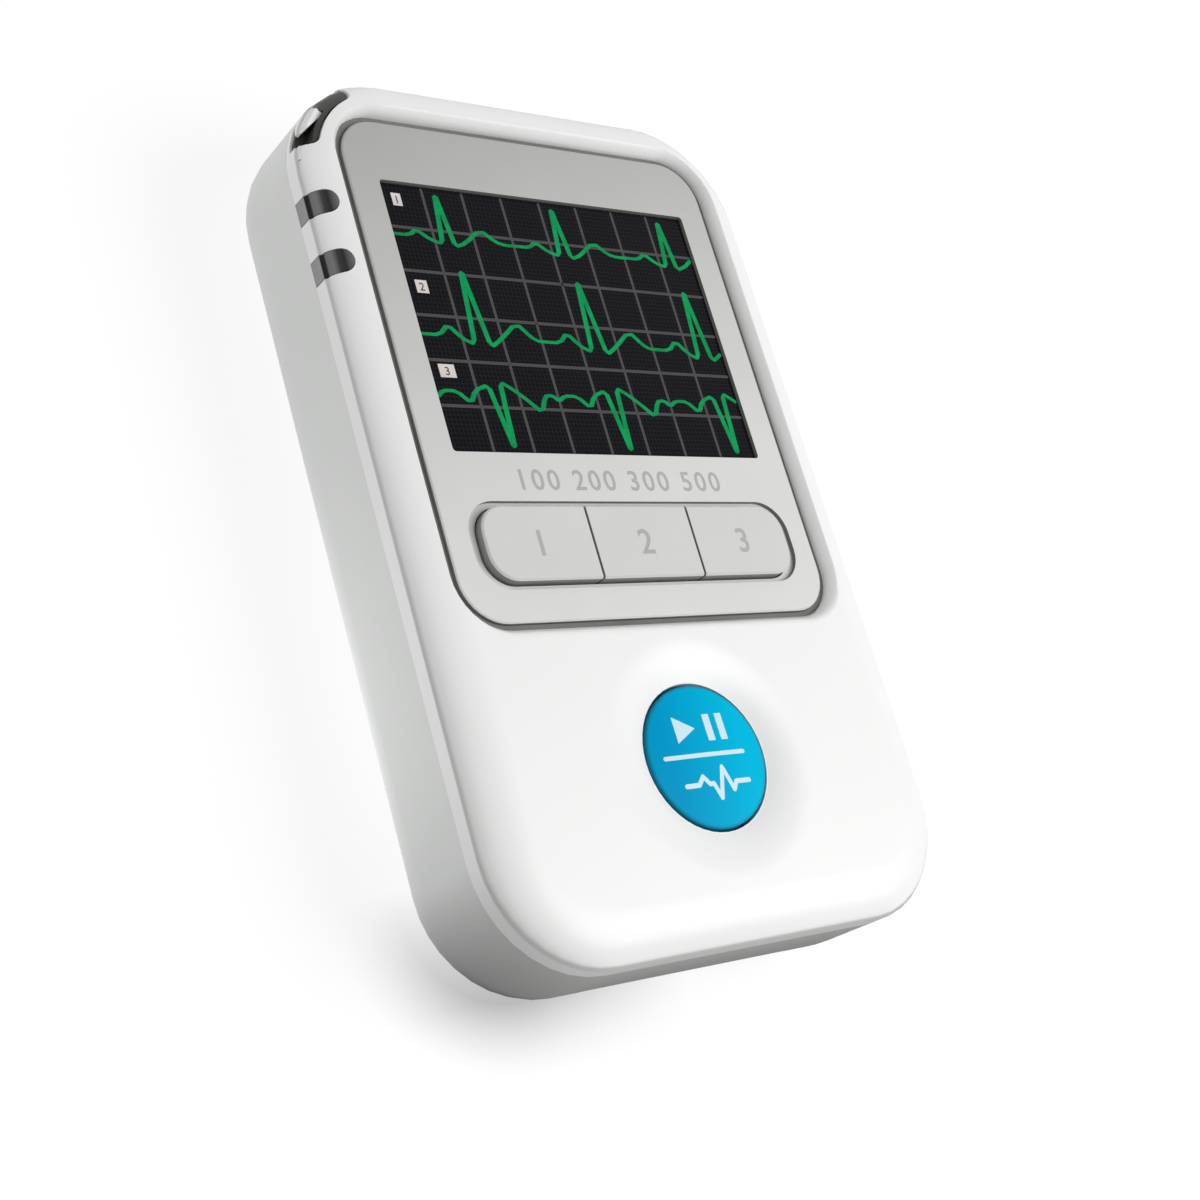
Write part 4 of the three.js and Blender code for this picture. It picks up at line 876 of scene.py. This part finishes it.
def floor_material():
    """The seen floor for the camera, its light for the case, and nothing from below."""
    material, tree, shader = new_material("floor_white")
    tree.nodes.remove(shader)
    rays = tree.nodes.new("ShaderNodeLightPath").outputs
    light = floor_light(tree, rays["Ray Length"])
    front = mix_shaders(tree, rays["Is Camera Ray"], light, shown_floor(tree))
    clear = tree.nodes.new("ShaderNodeBsdfTransparent")
    side = tree.nodes.new("ShaderNodeNewGeometry")
    final = mix_shaders(tree, side.outputs["Backfacing"], front, clear.outputs[0])
    tree.links.new(final, tree.nodes["Material Output"].inputs["Surface"])
    return material


def make_floor():
    form = bmesh.new()
    form.faces.new([form.verts.new((x, y, FLOOR_HEIGHT)) for x, y in FLOOR_CORNERS])
    mesh = bpy.data.meshes.new("floor")
    form.to_mesh(mesh)
    form.free()
    mesh.materials.append(floor_material())
    floor = bpy.data.objects.new("floor", mesh)
    scene.collection.objects.link(floor)


# Light and camera
def background(node, strength):
    node.inputs["Color"].default_value = WHITE
    node.inputs["Strength"].default_value = strength
    return node.outputs[0]


def make_world():
    """White where it is seen, mirrored or looked at through a clear piece, dimmer as a light."""
    world = bpy.data.worlds.new("studio")
    scene.world = world
    world.use_nodes = True
    tree = world.node_tree
    ambient = background(tree.nodes["Background"], AMBIENT_STRENGTH)
    seen = background(tree.nodes.new("ShaderNodeBackground"), SEEN_WORLD_STRENGTH)
    rays = tree.nodes.new("ShaderNodeLightPath").outputs
    direct = math_node(tree, "MAXIMUM", rays["Is Camera Ray"], rays["Is Glossy Ray"])
    clear = math_node(tree, "MAXIMUM", direct, rays["Is Transmission Ray"])
    final = mix_shaders(tree, clear, ambient, seen)
    tree.links.new(final, tree.nodes["World Output"].inputs["Surface"])


def add_lamp(name, place, size, power):
    """Round lamp at a place in metres, turned to the case."""
    lamp = bpy.data.lights.new(name, "AREA")
    lamp.shape = "DISK"
    lamp.size = size
    lamp.energy = power
    holder = bpy.data.objects.new(name, lamp)
    holder.location = place
    holder.rotation_mode = "QUATERNION"
    aim = Vector(LAMP_AIM) - Vector(place)
    holder.rotation_quaternion = aim.to_track_quat("-Z", "Y")
    scene.collection.objects.link(holder)


def make_camera():
    camera = bpy.data.cameras.new("camera")
    camera.sensor_width = SENSOR_WIDTH
    camera.lens = FOCAL_LENGTH
    camera.clip_start = NEAREST_SEEN * MM
    holder = bpy.data.objects.new("camera", camera)
    back = -Vector(CAMERA_FACES).normalized()
    right = Vector(CAMERA_RIGHT).normalized()
    up = back.cross(right)
    turn = Matrix((right, up, back)).transposed().to_4x4()
    holder.matrix_world = Matrix.Translation(Vector(CAMERA_PLACE) * MM) @ turn
    scene.collection.objects.link(holder)
    scene.camera = holder


make_camera()
finish_nodes()
dress_screen()
dress_panel()
dress_button()
make_floor()
make_world()
add_lamp("key_lamp", place=(0.26, -0.12, 0.40), size=0.35, power=1.55)
add_lamp("fill_lamp", place=(-0.35, 0.35, 0.25), size=0.45, power=0.5)
